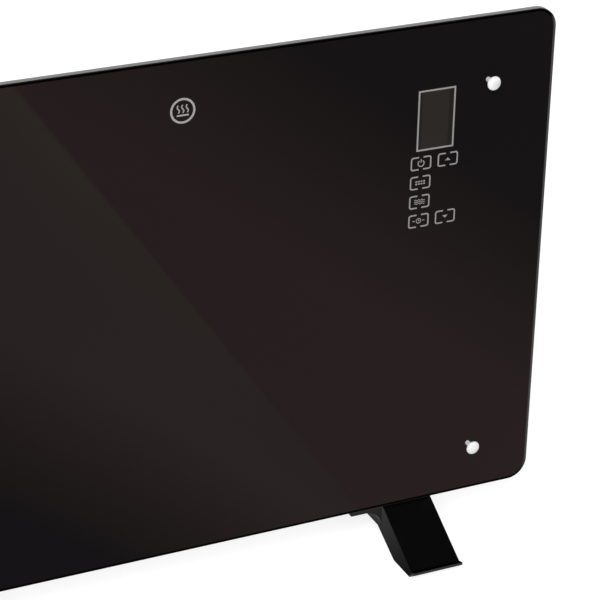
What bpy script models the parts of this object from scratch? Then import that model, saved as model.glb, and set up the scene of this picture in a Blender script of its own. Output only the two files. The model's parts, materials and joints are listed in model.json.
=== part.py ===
"""Glass panel heater: a dark glass front on a shallow convector case, standing on two moulded feet.

Lengths are metres. The origin is on the floor under the middle of the heater. X runs along the width,
the glass faces -Y and Z is up. Run it in Blender, with --background --python or from the text editor.
"""

import math

import bmesh
import bpy
from mathutils import Matrix, Vector

# Running and seating gap between neighbouring pieces
CLEARANCE = 0.0003
# How far a cutting shape runs past the faces that it opens
OVERCUT = 0.002

# Glass front
GLASS_WIDTH = 0.600
GLASS_HEIGHT = 0.400
GLASS_THICKNESS = 0.006
GLASS_CORNER_RADIUS = 0.016
GLASS_ARRIS = 0.0012
GLASS_ABOVE_FLOOR = 0.042
GLASS_GAP = 0.0065

# Studs that hold the glass, measured from its edges to their axes
STUD_FROM_SIDE = 0.0555
STUD_FROM_TOP = 0.050
STUD_FROM_BOTTOM = 0.042
STUD_HEAD_RADIUS = 0.0055
STUD_HEAD_THICKNESS = 0.0024
STUD_DOME = 0.0013
STUD_CHAMFER = 0.0004
STUD_NECK_RADIUS = 0.0022
STUD_NECK_LENGTH = 0.0085
STUD_SHANK_RADIUS = 0.0015
SPACER_RADIUS = 0.0080
NUT_ACROSS_FLATS = 0.0055
NUT_THICKNESS = 0.0024
THREAD_PAST_NUT = 0.0020

# Steel case
CASE_DEPTH = 0.048
CASE_SIDE_INSET = 0.022
CASE_TOP_INSET = 0.028
CASE_DROP = 0.004
CASE_BEND = 0.006
CASE_SHEET = 0.0012
CASE_RETURN = 0.009
PANEL_RISE = 0.002
PANEL_MARGIN = 0.016
PLATE_SHEET = 0.0012
PLATE_INSET = 0.0010

# Keyholes for hanging the case on two wall screws
KEYHOLE_FROM_MIDDLE = 0.150
KEYHOLE_FROM_TOP = 0.070
KEYHOLE_HEAD_RADIUS = 0.0055
KEYHOLE_SLOT_RADIUS = 0.0026
KEYHOLE_RISE = 0.012

# Screws
SCREW_RADIUS = 0.0016
SCREW_HEAD_RADIUS = 0.0034
SCREW_HEAD_HEIGHT = 0.0019
SCREW_HEAD_RIM = 0.0006
SCREW_LENGTH = 0.0070
FOOT_SCREW_RADIUS = 0.00175
FOOT_SCREW_HEAD_RADIUS = 0.0037
FOOT_SCREW_HEAD_HEIGHT = 0.0024
FOOT_SCREW_HEAD_RIM = 0.0008
FOOT_SCREW_PAST_SHEET = 0.0050
PLATE_SCREW_COLUMNS = 3

# Air grilles in the top and the bottom of the case
OUTLET_FROM_SIDE = 0.068
INLET_FROM_EAR = 0.023
GRILLE_WIDTH = 0.026
GRILLE_RIM = 0.0040
GRILLE_RIM_THICKNESS = 0.0014
GRILLE_DEPTH = 0.0070
GRILLE_SLOT = 0.0036
GRILLE_BLADE = 0.0019
GRILLE_CELL = 0.034
GRILLE_TIE = 0.0026
GRILLE_EDGE = 0.0028
OUTLET_BLADE_TILT = math.radians(32)
INLET_BLADE_TILT = 0.0

# Control bay at the right end, parted from the hot side by a baffle
CONTROL_BAY = 0.112
BAFFLE_SHEET = 0.0010
BAFFLE_FLANGE = 0.010

# Heating element
ELEMENT_ABOVE_CASE = 0.072
ELEMENT_END_GAP = 0.0010
SHEATH_RADIUS = 0.0038
SHEATH_PAST_BUSH = 0.004
PIN_RADIUS = 0.0016
PIN_LENGTH = 0.009
HUB_RADIUS = 0.0066
WING_HALF_DEPTH = 0.0125
WING_HALF_HEIGHT = 0.0210
WING_THICKNESS = 0.0014
# Share of a wing's rise that is straight; the rest grows with the square of the distance
WING_STRAIGHT_SHARE = 0.35
FIN_SLIT = 0.0016
FIN_PITCH = 0.0150
FIN_SLIT_START = 0.0100
BUSH_RADIUS = 0.0062
BUSH_FLANGE_RADIUS = 0.0085
BUSH_FLANGE = 0.0026
BUSH_BODY = 0.0075
BUSH_TAPER = 0.0007
BRACKET_SHEET = 0.0012
BRACKET_HEIGHT = 0.036
BRACKET_FOOT = 0.012
BRACKET_LIP = 0.0110

# Reflector behind the element
REFLECTOR_SHEET = 0.0008
REFLECTOR_STANDOFF = 0.0080
REFLECTOR_BELOW = 0.040
REFLECTOR_ABOVE = 0.075
REFLECTOR_TAB = 0.012

# Safety cut-out on the baffle
CUTOUT_RADIUS = 0.0080
CUTOUT_HEIGHT = 0.0085
CUTOUT_FLANGE_RADIUS = 0.0105
CUTOUT_FLANGE = 0.0012
CUTOUT_TAPER = 0.0005
CUTOUT_ABOVE_ELEMENT = 0.052

# Display and touch keys, measured from the edges of the glass
DISPLAY_FROM_SIDE = 0.0976
DISPLAY_FROM_TOP = 0.0754
DISPLAY_WIDTH = 0.0296
DISPLAY_HEIGHT = 0.0466
DISPLAY_BORDER = 0.0024
KEYS_WIDTH = 0.042
KEYS_HEIGHT = 0.066
TOUCH_BOARD = 0.0016
TRAY_WALL = 0.0018
TRAY_MARGIN = 0.0035
TRAY_FLANGE = 0.0035
TRAY_DEPTH_IN_CASE = 0.0060
BOSS_RADIUS = 0.0028

# Power electronics
CARRIER_THICKNESS = 0.0020
CARRIER_POST = 0.0060
CARRIER_POST_RADIUS = 0.0030
POST_FROM_EDGE = 0.0060
BOARD_WIDTH = 0.074
BOARD_HEIGHT = 0.104
BOARD_THICKNESS = 0.0016
BOARD_MARGIN = 0.0030
BOARD_ABOVE_CASE = 0.195
RELAY_SIZE = (0.0190, 0.0160, 0.0155)
RELAY_PITCH = 0.0266
RELAY_FROM_BOTTOM = 0.0180
TRANSFORMER_COIL = (0.0300, 0.0200, 0.0160)
TRANSFORMER_CORE = (0.0200, 0.0110, 0.0250)
TRANSFORMER_FROM_SIDE = 0.0210
TRANSFORMER_FROM_TOP = 0.0245
CAPACITOR_RADIUS = 0.0065
CAPACITOR_HEIGHT = 0.0160
CAPACITOR_FROM_SIDE = 0.0190
CAPACITOR_GROOVE = 0.0006
CAPACITOR_GROOVE_HEIGHT = 0.0030

# Terminal block and room sensor
TERMINAL_SIZE = (0.0380, 0.0170, 0.0200)
TERMINAL_ABOVE_CASE = 0.030
TERMINAL_WAYS = 3
TERMINAL_ROW_PITCH = 0.0088
TERMINAL_WELL_RADIUS = 0.0030
TERMINAL_WELL_DEPTH = 0.0060
SENSOR_RADIUS = 0.0025
SENSOR_LENGTH = 0.024
SENSOR_CLIP = (0.0092, 0.0092, 0.0080)
SENSOR_ABOVE_CASE = 0.034
SENSOR_FROM_PLATE = 0.0196

# Tip-over switch with a hanging weight
TIP_ABOVE_CASE = 0.120
TIP_WALL = 0.0016
TIP_INNER_WIDTH = 0.0094
TIP_ARM = 0.0150
TIP_BOB_RADIUS = 0.0052
TIP_HUB_RADIUS = 0.0030
TIP_PIN_RADIUS = 0.0012
TIP_SWING = math.radians(20)
TIP_ARM_WIDTH = 0.0030
TIP_BOB_THICKNESS = 0.0078

# Mains rocker switch in the right side of the case
ROCKER_ABOVE_CASE = 0.085
ROCKER_BEZEL = (0.0150, 0.0210)
ROCKER_BEZEL_HEIGHT = 0.0022
ROCKER_BODY = (0.0128, 0.0188)
ROCKER_BODY_DEPTH = 0.0130
ROCKER_CAVITY_DEPTH = 0.0070
ROCKER_WALL = 0.0016
ROCKER_THROW = math.radians(20)
ROCKER_PIN_RADIUS = 0.0010
ROCKER_PIN_LENGTH = 0.0008
ROCKER_EDGE = 0.0024
ROCKER_DIP = 0.0009
ROCKER_SKIRT = 0.0024
ROCKER_BLADE = (0.0080, 0.0048, 0.0008)
ROCKER_BLADE_PITCH = 0.0086

# Cord gland in the right side of the case
GLAND_BELOW_ROCKER = 0.025
GLAND_RADIUS = 0.0068
GLAND_FLANGE_RADIUS = 0.0096
GLAND_FLANGE = 0.0022
GLAND_EDGE = 0.0010
GLAND_BORE_RADIUS = 0.0040
GLAND_TAIL = 0.0070
GLAND_TAPER = 0.0007

# Feet
FOOT_REACH = 0.0884
FOOT_FROM_SIDE = 0.0825
FOOT_WIDTH = 0.0425
FOOT_WALL = 0.0028
FOOT_PLATE = 0.0030
FOOT_SADDLE_HALF = 0.0295
FOOT_LIP_LENGTH = 0.0069
FOOT_LIP_HEIGHT = 0.0072
FOOT_LIP_THICKNESS = 0.0027
FOOT_TOE = 0.0084
FOOT_CONTACT_END = 0.0530
FOOT_ARCH_HALF = 0.0231
FOOT_ARCH_HEIGHT = 0.0161
FOOT_TOE_SOLID = 0.0124
FOOT_RIB = 0.0022
EAR_LENGTH = 0.027
EAR_THICKNESS = 0.0045
EAR_FILLET = 0.0140
EAR_CORNER_RADIUS = 0.0025
EAR_SCREW_FROM_END = 0.0065

# Roundness of turned and curved pieces
TURN_STEPS = 20
SMALL_TURN_STEPS = 12
ARC_STEPS = 6
KEYHOLE_STEPS = 14
SMALL_ARC_STEPS = 3
DOME_STEPS = 3
SHARP_ANGLE = math.radians(32)
# The case's rim is bent a little tighter than its corners, so the two bends don't meet in a point
RIM_BEND_SHARE = 0.9
# Section of a round bend, as the bevel tool counts it: 0 is hollow, 0.5 round and 1 square
ROUND_SECTION = 0.5
# Vertices closer than this to a plane lie on it
ON_PLANE = 1e-6

# Places that follow from the sizes above
case_front = -CASE_DEPTH / 2
case_back = CASE_DEPTH / 2
plate_back = case_front - CLEARANCE
plate_front = plate_back - PLATE_SHEET
glass_back = plate_front - GLASS_GAP
glass_front = glass_back - GLASS_THICKNESS
glass_low = GLASS_ABOVE_FLOOR
glass_high = glass_low + GLASS_HEIGHT
case_low = glass_low - CASE_DROP
case_high = glass_high - CASE_TOP_INSET
case_half = GLASS_WIDTH / 2 - CASE_SIDE_INSET
inner_half = case_half - CASE_SHEET
inner_back = case_back - CASE_SHEET
panel_half = case_half - PANEL_MARGIN - CASE_SHEET / 2
panel_low = case_low + PANEL_MARGIN + CASE_SHEET / 2
panel_high = case_high - PANEL_MARGIN - CASE_SHEET / 2
bay_left = inner_half - CONTROL_BAY
saddle_top = case_low - CLEARANCE
foot_inner = GLASS_WIDTH / 2 - FOOT_FROM_SIDE - FOOT_WIDTH
ear_tip = foot_inner - EAR_LENGTH
outlet_length = 2 * (case_half - OUTLET_FROM_SIDE)
inlet_length = 2 * (ear_tip - INLET_FROM_EAR)

MATERIALS = {
    "tinted_glass": ((0.012, 0.010, 0.011), 0.06, 0.0),
    "polished_metal": ((0.85, 0.85, 0.86), 0.10, 1.0),
    "silicone": ((0.05, 0.05, 0.05), 0.70, 0.0),
    "painted_steel": ((0.018, 0.018, 0.019), 0.42, 0.0),
    "bright_steel": ((0.62, 0.62, 0.63), 0.35, 1.0),
    "aluminium": ((0.74, 0.75, 0.76), 0.38, 1.0),
    "ceramic": ((0.86, 0.83, 0.76), 0.45, 0.0),
    "black_moulding": ((0.015, 0.015, 0.015), 0.48, 0.0),
    "white_moulding": ((0.78, 0.77, 0.73), 0.45, 0.0),
    "circuit_board": ((0.02, 0.16, 0.07), 0.40, 0.0),
    "display": ((0.035, 0.031, 0.027), 0.15, 0.0),
    "relay_case": ((0.05, 0.12, 0.32), 0.40, 0.0),
}


def clear_scene():
    """Remove what the scene holds."""
    for old in list(bpy.data.objects):
        bpy.data.objects.remove(old, do_unlink=True)


def make_material(name):
    """Principled material of one of the named finishes."""
    found = bpy.data.materials.get(name)
    if found:
        return found
    color, roughness, metallic = MATERIALS[name]
    made = bpy.data.materials.new(name)
    made.use_nodes = True
    shader = made.node_tree.nodes["Principled BSDF"]
    shader.inputs["Base Color"].default_value = (*color, 1.0)
    shader.inputs["Roughness"].default_value = roughness
    shader.inputs["Metallic"].default_value = metallic
    made.diffuse_color = (*color, 1.0)
    return made


def to_object(bm, name="shape"):
    """Object holding the mesh, with its faces turned outwards."""
    bmesh.ops.recalc_face_normals(bm, faces=bm.faces)
    mesh = bpy.data.meshes.new(name)
    bm.to_mesh(mesh)
    bm.free()
    obj = bpy.data.objects.new(name, mesh)
    bpy.context.scene.collection.objects.link(obj)
    return obj


def along(axis, u, v, w):
    """World point from outline coordinates u, v and the distance w along the axis."""
    if axis == "X":
        return (w, u, v)
    if axis == "Y":
        return (u, w, v)
    return (u, v, w)


def prism(outline, axis, low, high):
    """Outline of (u, v) points extruded along an axis from low to high."""
    bm = bmesh.new()
    start = [bm.verts.new(along(axis, u, v, low)) for u, v in outline]
    end = [bm.verts.new(along(axis, u, v, high)) for u, v in outline]
    bm.faces.new(start)
    bm.faces.new(end)
    for i in range(len(outline)):
        j = (i + 1) % len(outline)
        bm.faces.new((start[i], start[j], end[j], end[i]))
    return to_object(bm)


def block(low, high):
    """Box between two corners."""
    outline = [(low[0], low[1]), (high[0], low[1]), (high[0], high[1]), (low[0], high[1])]
    return prism(outline, "Z", low[2], high[2])


def frustum(low_box, high_box, y_low, y_high):
    """Four-sided block whose ends are the rectangles (x0, z0, x1, z1) at two depths."""
    bm = bmesh.new()
    rings = []
    for (x0, z0, x1, z1), y in ((low_box, y_low), (high_box, y_high)):
        corners = ((x0, z0), (x1, z0), (x1, z1), (x0, z1))
        rings.append([bm.verts.new((x, y, z)) for x, z in corners])
    bm.faces.new(rings[0])
    bm.faces.new(rings[1])
    for i in range(4):
        j = (i + 1) % 4
        bm.faces.new((rings[0][i], rings[0][j], rings[1][j], rings[1][i]))
    return to_object(bm)


def turned(profile, axis, centre, steps=TURN_STEPS, closed=False):
    """Solid turned about an axis from (distance, radius) points; a closed profile makes a ring."""
    bm = bmesh.new()
    rings = []
    for distance, radius in profile:
        if radius == 0.0:
            rings.append([bm.verts.new(along(axis, 0.0, 0.0, distance))])
            continue
        ring = []
        for k in range(steps):
            angle = 2 * math.pi * k / steps
            point = along(axis, radius * math.cos(angle), radius * math.sin(angle), distance)
            ring.append(bm.verts.new(point))
        rings.append(ring)
    pairs = list(zip(rings, rings[1:]))
    if closed:
        pairs.append((rings[-1], rings[0]))
    for near, far in pairs:
        for k in range(steps):
            m = (k + 1) % steps
            corners = [near[k % len(near)], near[m % len(near)], far[m % len(far)], far[k % len(far)]]
            bm.faces.new(list(dict.fromkeys(corners)))
    bmesh.ops.translate(bm, verts=bm.verts, vec=centre)
    return to_object(bm)


def rod(axis, centre, radius, low, high, steps=SMALL_TURN_STEPS):
    """Plain round bar along an axis; low and high are distances from the centre."""
    return turned([(low, 0.0), (low, radius), (high, radius), (high, 0.0)], axis, centre, steps)


def tube(axis, centre, inner, outer, low, high, steps=TURN_STEPS):
    """Plain ring along an axis; low and high are distances from the centre."""
    profile = [(low, inner), (low, outer), (high, outer), (high, inner)]
    return turned(profile, axis, centre, steps, closed=True)


def dome(top, edge, radius):
    """Profile of a domed head, from the middle of its top to the height where its rim starts."""
    profile = []
    for k in range(DOME_STEPS + 1):
        angle = math.pi / 2 * k / DOME_STEPS
        profile.append((top + (edge - top) * (1 - math.cos(angle)), radius * math.sin(angle)))
    return profile


def screw_profile(seat, into, head, shank, length):
    """Profile of a domed screw from its seat; into is -1 or 1, the way that its shank points.

    head holds the head's radius, height and rim height, and shank is the shank's radius.
    """
    radius, height, rim = head
    end = seat + into * length
    profile = dome(seat - into * height, seat - into * rim, radius)
    return profile + [(seat, radius), (seat, shank), (end, shank), (end, 0.0)]


def arc(centre, radius, start, end, steps=ARC_STEPS):
    """Points of an arc between two angles, ends included."""
    turns = [start + (end - start) * k / steps for k in range(steps + 1)]
    return [(centre[0] + radius * math.cos(a), centre[1] + radius * math.sin(a)) for a in turns]


def rounded_rectangle(u0, v0, u1, v1, radius, steps=ARC_STEPS):
    """Outline of a rectangle with rounded corners."""
    quarter = math.pi / 2
    corners = [(u1 - radius, v0 + radius, -1), (u1 - radius, v1 - radius, 0)]
    corners += [(u0 + radius, v1 - radius, 1), (u0 + radius, v0 + radius, 2)]
    outline = []
    for u, v, turn in corners:
        outline += arc((u, v), radius, turn * quarter, (turn + 1) * quarter, steps)
    return outline


def sheet_outline(path, thickness):
    """Closed outline of a bent sheet: the path, and its copy one thickness to its left."""
    points = [Vector(p) for p in path]
    inner = []
    for i, point in enumerate(points):
        before = (point - points[i - 1]).normalized() if i else None
        after = (points[i + 1] - point).normalized() if i + 1 < len(points) else None
        before = before or after
        after = after or before
        first = Vector((-before.y, before.x))
        second = Vector((-after.y, after.x))
        middle = (first + second).normalized()
        inner.append(point + middle * (thickness / middle.dot(first)))
    return [tuple(p) for p in points] + [tuple(p) for p in reversed(inner)]


def gather(shapes):
    """One object holding several shapes that don't touch, for use as a cutter."""
    bm = bmesh.new()
    for shape in shapes:
        bm.from_mesh(shape.data)
        bpy.data.objects.remove(shape)
    return to_object(bm)


def combine(body, tool, operation):
    """Boolean of two objects, kept in the first; the second is removed."""
    modifier = body.modifiers.new("combine", "BOOLEAN")
    modifier.solver = "EXACT"
    modifier.operation = operation
    modifier.object = tool
    bpy.context.view_layer.update()
    graph = bpy.context.evaluated_depsgraph_get()
    result = bpy.data.meshes.new_from_object(body.evaluated_get(graph))
    body.modifiers.clear()
    body.data = result
    bpy.data.objects.remove(tool)
    return body


def cut(body, *tools):
    """Take each tool away from the body."""
    for tool in tools:
        combine(body, tool, "DIFFERENCE")
    return body


def fuse(body, *tools):
    """Join each tool to the body as one solid."""
    for tool in tools:
        combine(body, tool, "UNION")
    return body


def name_piece(obj, name, material, origin=None, smooth=True):
    """Give a finished piece its name, its material and, if it moves, its origin on the joint."""
    obj.name = name
    obj.data.name = name
    obj.data.materials.clear()
    obj.data.materials.append(make_material(material))
    if smooth:
        obj.data.shade_smooth()
        obj.data.set_sharp_from_angle(angle=SHARP_ANGLE)
    if origin:
        obj.data.transform(Matrix.Translation(-Vector(origin)))
        obj.location = origin
    return obj


def stud_places():
    """Name and axis of each glass stud, as (name, x, z)."""
    side = GLASS_WIDTH / 2 - STUD_FROM_SIDE
    high = glass_high - STUD_FROM_TOP
    low = glass_low + STUD_FROM_BOTTOM
    places = [("top_left", -side, high), ("top_right", side, high)]
    return places + [("low_left", -side, low), ("low_right", side, low)]


def build_glass():
    """Toughened glass with rounded corners, polished arrises and four stud holes."""
    half = GLASS_WIDTH / 2
    bm = bmesh.new()
    levels = [(glass_front, GLASS_ARRIS), (glass_front + GLASS_ARRIS, 0.0)]
    levels += [(glass_back - GLASS_ARRIS, 0.0), (glass_back, GLASS_ARRIS)]
    rings = []
    for y, inset in levels:
        radius = GLASS_CORNER_RADIUS - inset
        edge = rounded_rectangle(
            -half + inset, glass_low + inset, half - inset, glass_high - inset, radius)
        rings.append([bm.verts.new((x, y, z)) for x, z in edge])
    bm.faces.new(rings[0])
    bm.faces.new(rings[-1])
    for near, far in zip(rings, rings[1:]):
        for i in range(len(near)):
            j = (i + 1) % len(near)
            bm.faces.new((near[i], near[j], far[j], far[i]))
    glass = to_object(bm)
    hole = STUD_SHANK_RADIUS + CLEARANCE
    holes = [
        rod("Y", (x, 0.0, z), hole, glass_front - OVERCUT, glass_back + OVERCUT)
        for _, x, z in stud_places()
    ]
    cut(glass, gather(holes))
    name_piece(glass, "front_glass", "tinted_glass")


def build_studs():
    """Mushroom-headed studs through the glass, each with a spacer behind the glass and a nut."""
    shoulder = glass_front - CLEARANCE
    head_back = shoulder - STUD_NECK_LENGTH
    head_front = head_back - STUD_HEAD_THICKNESS
    nut_front = plate_back + CLEARANCE
    shank_end = nut_front + NUT_THICKNESS + THREAD_PAST_NUT
    profile = dome(head_front, head_front + STUD_DOME, STUD_HEAD_RADIUS)
    profile += [
        (head_back - STUD_CHAMFER, STUD_HEAD_RADIUS),
        (head_back, STUD_HEAD_RADIUS - STUD_CHAMFER),
        (head_back, STUD_NECK_RADIUS),
        (shoulder, STUD_NECK_RADIUS),
        (shoulder, STUD_SHANK_RADIUS),
        (shank_end, STUD_SHANK_RADIUS),
        (shank_end, 0.0),
    ]
    spacer_bore = STUD_SHANK_RADIUS + CLEARANCE
    for name, x, z in stud_places():
        name_piece(turned(profile, "Y", (x, 0.0, z)), "stud_" + name, "polished_metal")
        spacer = tube(
            "Y", (x, 0.0, z), spacer_bore, SPACER_RADIUS,
            glass_back + CLEARANCE, plate_front - CLEARANCE)
        name_piece(spacer, "spacer_" + name, "silicone")
        corner = NUT_ACROSS_FLATS / math.sqrt(3)
        hexagon = [
            (x + corner * math.cos(math.pi * k / 3), z + corner * math.sin(math.pi * k / 3))
            for k in range(6)
        ]
        nut_back = nut_front + NUT_THICKNESS
        nut = prism(hexagon, "Y", nut_front, nut_back)
        cut(nut, rod("Y", (x, 0.0, z), spacer_bore, nut_front - OVERCUT, nut_back + OVERCUT))
        name_piece(nut, "nut_" + name, "bright_steel", smooth=False)


def plate_screw_places():
    """Axes of the screws that hold the front plate on the return flange of the case."""
    reach = case_half - CASE_SHEET - CASE_RETURN / 2
    high = case_high - CASE_SHEET - CASE_RETURN / 2
    low = case_low + CASE_SHEET + CASE_RETURN / 2
    side = reach - CASE_BEND
    places = []
    for k in range(PLATE_SCREW_COLUMNS):
        x = -side + 2 * side * k / (PLATE_SCREW_COLUMNS - 1)
        places += [(x, low), (x, high)]
    return places


def screw_hole(x, z, low, high):
    """Cutter for a plate screw's clearance hole along Y."""
    return rod("Y", (x, 0.0, z), SCREW_RADIUS + CLEARANCE, low, high)


def tray_box():
    """Lowest and highest x and z of the control tray's outer walls."""
    x = GLASS_WIDTH / 2 - DISPLAY_FROM_SIDE
    half = max(KEYS_WIDTH, DISPLAY_WIDTH + 2 * DISPLAY_BORDER) / 2 + TRAY_MARGIN + TRAY_WALL
    top = glass_high - DISPLAY_FROM_TOP + DISPLAY_HEIGHT / 2 + DISPLAY_BORDER
    bottom = glass_high - DISPLAY_FROM_TOP - DISPLAY_HEIGHT / 2 - DISPLAY_BORDER - KEYS_HEIGHT
    edge = TRAY_MARGIN + TRAY_WALL
    return x - half, bottom - edge - CLEARANCE, x + half, top + edge


def build_front_plate():
    """Flat sheet behind the glass: it carries the studs and lets the control tray through."""
    outer = case_half - PLATE_INSET
    radius = CASE_BEND - PLATE_INSET
    outline = rounded_rectangle(
        -outer, case_low + PLATE_INSET, outer, case_high - PLATE_INSET, radius, SMALL_ARC_STEPS)
    plate = prism(outline, "Y", plate_front, plate_back)
    before = plate_front - OVERCUT
    behind = plate_back + OVERCUT
    hole = STUD_SHANK_RADIUS + CLEARANCE
    tools = [rod("Y", (x, 0.0, z), hole, before, behind) for _, x, z in stud_places()]
    tools += [screw_hole(x, z, before, behind) for x, z in plate_screw_places()]
    x0, z0, x1, z1 = tray_box()
    gap = CLEARANCE
    tools.append(block((x0 - gap, before, z0 - gap), (x1 + gap, behind, z1 + gap)))
    cut(plate, gather(tools))
    name_piece(plate, "front_plate", "painted_steel", smooth=False)


def build_plate_screws():
    """Pan-head screws through the front plate and the return flange."""
    head = (SCREW_HEAD_RADIUS, SCREW_HEAD_HEIGHT, SCREW_HEAD_RIM)
    profile = screw_profile(plate_front - CLEARANCE, 1, head, SCREW_RADIUS, SCREW_LENGTH)
    for k, (x, z) in enumerate(plate_screw_places()):
        screw = turned(profile, "Y", (x, 0.0, z), SMALL_TURN_STEPS)
        name_piece(screw, f"plate_screw_{k + 1}", "bright_steel")


def case_shell():
    """Pressed pan with a return flange round its front and a raised panel in its back."""
    border = case_back - PANEL_RISE

    def pan(half, low, high, front, back, bend):
        outline = rounded_rectangle(-half, low, half, high, bend, SMALL_ARC_STEPS + 1)
        body = prism(outline, "Y", front, back)
        bm = bmesh.new()
        bm.from_mesh(body.data)
        rim = [e for e in bm.edges if all(abs(v.co.y - back) < ON_PLANE for v in e.verts)]
        width = bend * RIM_BEND_SHARE
        bmesh.ops.bevel(
            bm, geom=rim, offset=width, segments=SMALL_ARC_STEPS, affect="EDGES",
            profile=ROUND_SECTION)
        bpy.data.objects.remove(body)
        return to_object(bm)

    def panel(inset, front, back):
        x = case_half - PANEL_MARGIN - inset
        z0 = case_low + PANEL_MARGIN + inset
        z1 = case_high - PANEL_MARGIN - inset
        wide = PANEL_RISE + (back - border)
        return frustum(
            (-x - wide, z0 - wide, x + wide, z1 + wide), (-x, z0, x, z1), front, back)

    # The pressed panel's slope runs on below the border, so the two solids meet well inside
    outer = pan(case_half, case_low, case_high, case_front, border, CASE_BEND)
    fuse(outer, panel(0.0, border - PANEL_RISE, case_back))
    bend = CASE_BEND - CASE_SHEET
    room = pan(
        inner_half, case_low + CASE_SHEET, case_high - CASE_SHEET,
        case_front + CASE_SHEET, border - CASE_SHEET, bend)
    fuse(room, panel(CASE_SHEET / 2, border - PANEL_RISE - CASE_SHEET, inner_back))
    mouth_half = inner_half - CASE_RETURN
    mouth = block(
        (-mouth_half, case_front - OVERCUT, case_low + CASE_SHEET + CASE_RETURN),
        (mouth_half, case_front + CASE_SHEET + OVERCUT, case_high - CASE_SHEET - CASE_RETURN))
    fuse(room, mouth)
    return cut(outer, room)


def keyhole(x, z, low, high):
    """Cutter for a keyhole: round entry for the screw head and a narrow slot above it."""
    half = KEYHOLE_SLOT_RADIUS
    meet = math.asin(half / KEYHOLE_HEAD_RADIUS)
    quarter = math.pi / 2
    entry = arc((x, z), KEYHOLE_HEAD_RADIUS, quarter + meet, 5 * quarter - meet, KEYHOLE_STEPS)
    slot = arc((x, z + KEYHOLE_RISE), half, 0.0, math.pi)
    return prism(entry + slot, "Y", low, high)


def grille_opening(length, z_low, z_high):
    """Cutter for a grille's opening in the top or the bottom of the case."""
    half_x = length / 2 + CLEARANCE
    half_y = GRILLE_WIDTH / 2 + CLEARANCE
    return block((-half_x, -half_y, z_low), (half_x, half_y, z_high))


def foot_screw_places():
    """Places of the foot screws, as (name, x, lowest seat height)."""
    ear = ear_tip + EAR_SCREW_FROM_END
    middle = foot_inner + FOOT_WIDTH / 2
    places = []
    for side, word in ((-1, "left"), (1, "right")):
        places.append((f"foot_screw_{word}_inner", side * ear, saddle_top - EAR_THICKNESS))
        places.append((f"foot_screw_{word}_outer", side * middle, saddle_top - FOOT_PLATE))
    return places


def rocker_height():
    """Height of the rocker switch's axis over the floor."""
    return case_low + ROCKER_ABOVE_CASE


def gland_height():
    """Height of the cord gland's axis over the floor."""
    return rocker_height() - GLAND_BELOW_ROCKER


def build_rear_case():
    """Steel case with its keyholes, grille openings, screw holes, switch and gland openings."""
    case = case_shell()
    through = CASE_SHEET + OVERCUT
    hang = case_high - KEYHOLE_FROM_TOP
    tools = [
        keyhole(side * KEYHOLE_FROM_MIDDLE, hang, case_back - through, case_back + OVERCUT)
        for side in (-1, 1)
    ]
    for x, z in plate_screw_places():
        tools.append(screw_hole(x, z, case_front - OVERCUT, case_front + through))
    tools.append(grille_opening(outlet_length, case_high - through, case_high + OVERCUT))
    tools.append(grille_opening(inlet_length, case_low - OVERCUT, case_low + through))
    hole = FOOT_SCREW_RADIUS + CLEARANCE
    for _, x, _ in foot_screw_places():
        tools.append(rod("Z", (x, 0.0, 0.0), hole, case_low - OVERCUT, case_low + through))
    inside = case_half - through
    outside = case_half + OVERCUT
    half_y = ROCKER_BODY[0] / 2 + CLEARANCE
    half_z = ROCKER_BODY[1] / 2 + CLEARANCE
    z = rocker_height()
    tools.append(block((inside, -half_y, z - half_z), (outside, half_y, z + half_z)))
    hole = GLAND_RADIUS + CLEARANCE
    tools.append(rod("X", (0.0, 0.0, gland_height()), hole, inside, outside, TURN_STEPS))
    cut(case, gather(tools))
    name_piece(case, "rear_case", "painted_steel")


def build_grille(name, length, seat, inward, tilt):
    """Louvred grille: a rimmed block whose blades are left between slanted slots.

    seat is the height of the sheet face that the rim lies on and inward is -1 or 1 for the way in.
    """
    outside = seat - inward * CLEARANCE
    rim_top = outside - inward * GRILLE_RIM_THICKNESS
    inside = outside + inward * GRILLE_DEPTH
    half_x = length / 2
    half_y = GRILLE_WIDTH / 2

    def between(x, y, z0, z1):
        return block((-x, -y, min(z0, z1)), (x, y, max(z0, z1)))

    body = between(half_x, half_y, (outside + rim_top) / 2, inside)
    rim_x = half_x + GRILLE_RIM
    rim_y = half_y + GRILLE_RIM
    rim = prism(
        rounded_rectangle(-rim_x, -rim_y, rim_x, rim_y, GRILLE_RIM, SMALL_ARC_STEPS),
        "Z", min(outside, rim_top), max(outside, rim_top))
    fuse(rim, body)
    pitch = GRILLE_SLOT + GRILLE_BLADE
    lean = math.tan(tilt) * (GRILLE_DEPTH + GRILLE_RIM_THICKNESS)
    room = GRILLE_WIDTH - 2 * GRILLE_EDGE - lean
    rows = int((room + GRILLE_BLADE) / pitch)
    start = -(rows * pitch - GRILLE_BLADE + lean) / 2
    cells = int((length - 2 * GRILLE_EDGE + GRILLE_TIE) / (GRILLE_CELL + GRILLE_TIE))
    cell = (length - 2 * GRILLE_EDGE + GRILLE_TIE) / cells - GRILLE_TIE
    near = rim_top - inward * OVERCUT
    far = inside + inward * OVERCUT
    over = math.tan(tilt) * OVERCUT
    slots = []
    for column in range(cells):
        x0 = -half_x + GRILLE_EDGE + column * (cell + GRILLE_TIE)
        for row in range(rows):
            y = start + row * pitch
            outline = [(y - over, near), (y - over + GRILLE_SLOT, near)]
            outline += [(y + lean + over + GRILLE_SLOT, far), (y + lean + over, far)]
            slots.append(prism(outline, "X", x0, x0 + cell))
    cut(rim, gather(slots))
    name_piece(rim, name, "black_moulding", smooth=False)


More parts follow.
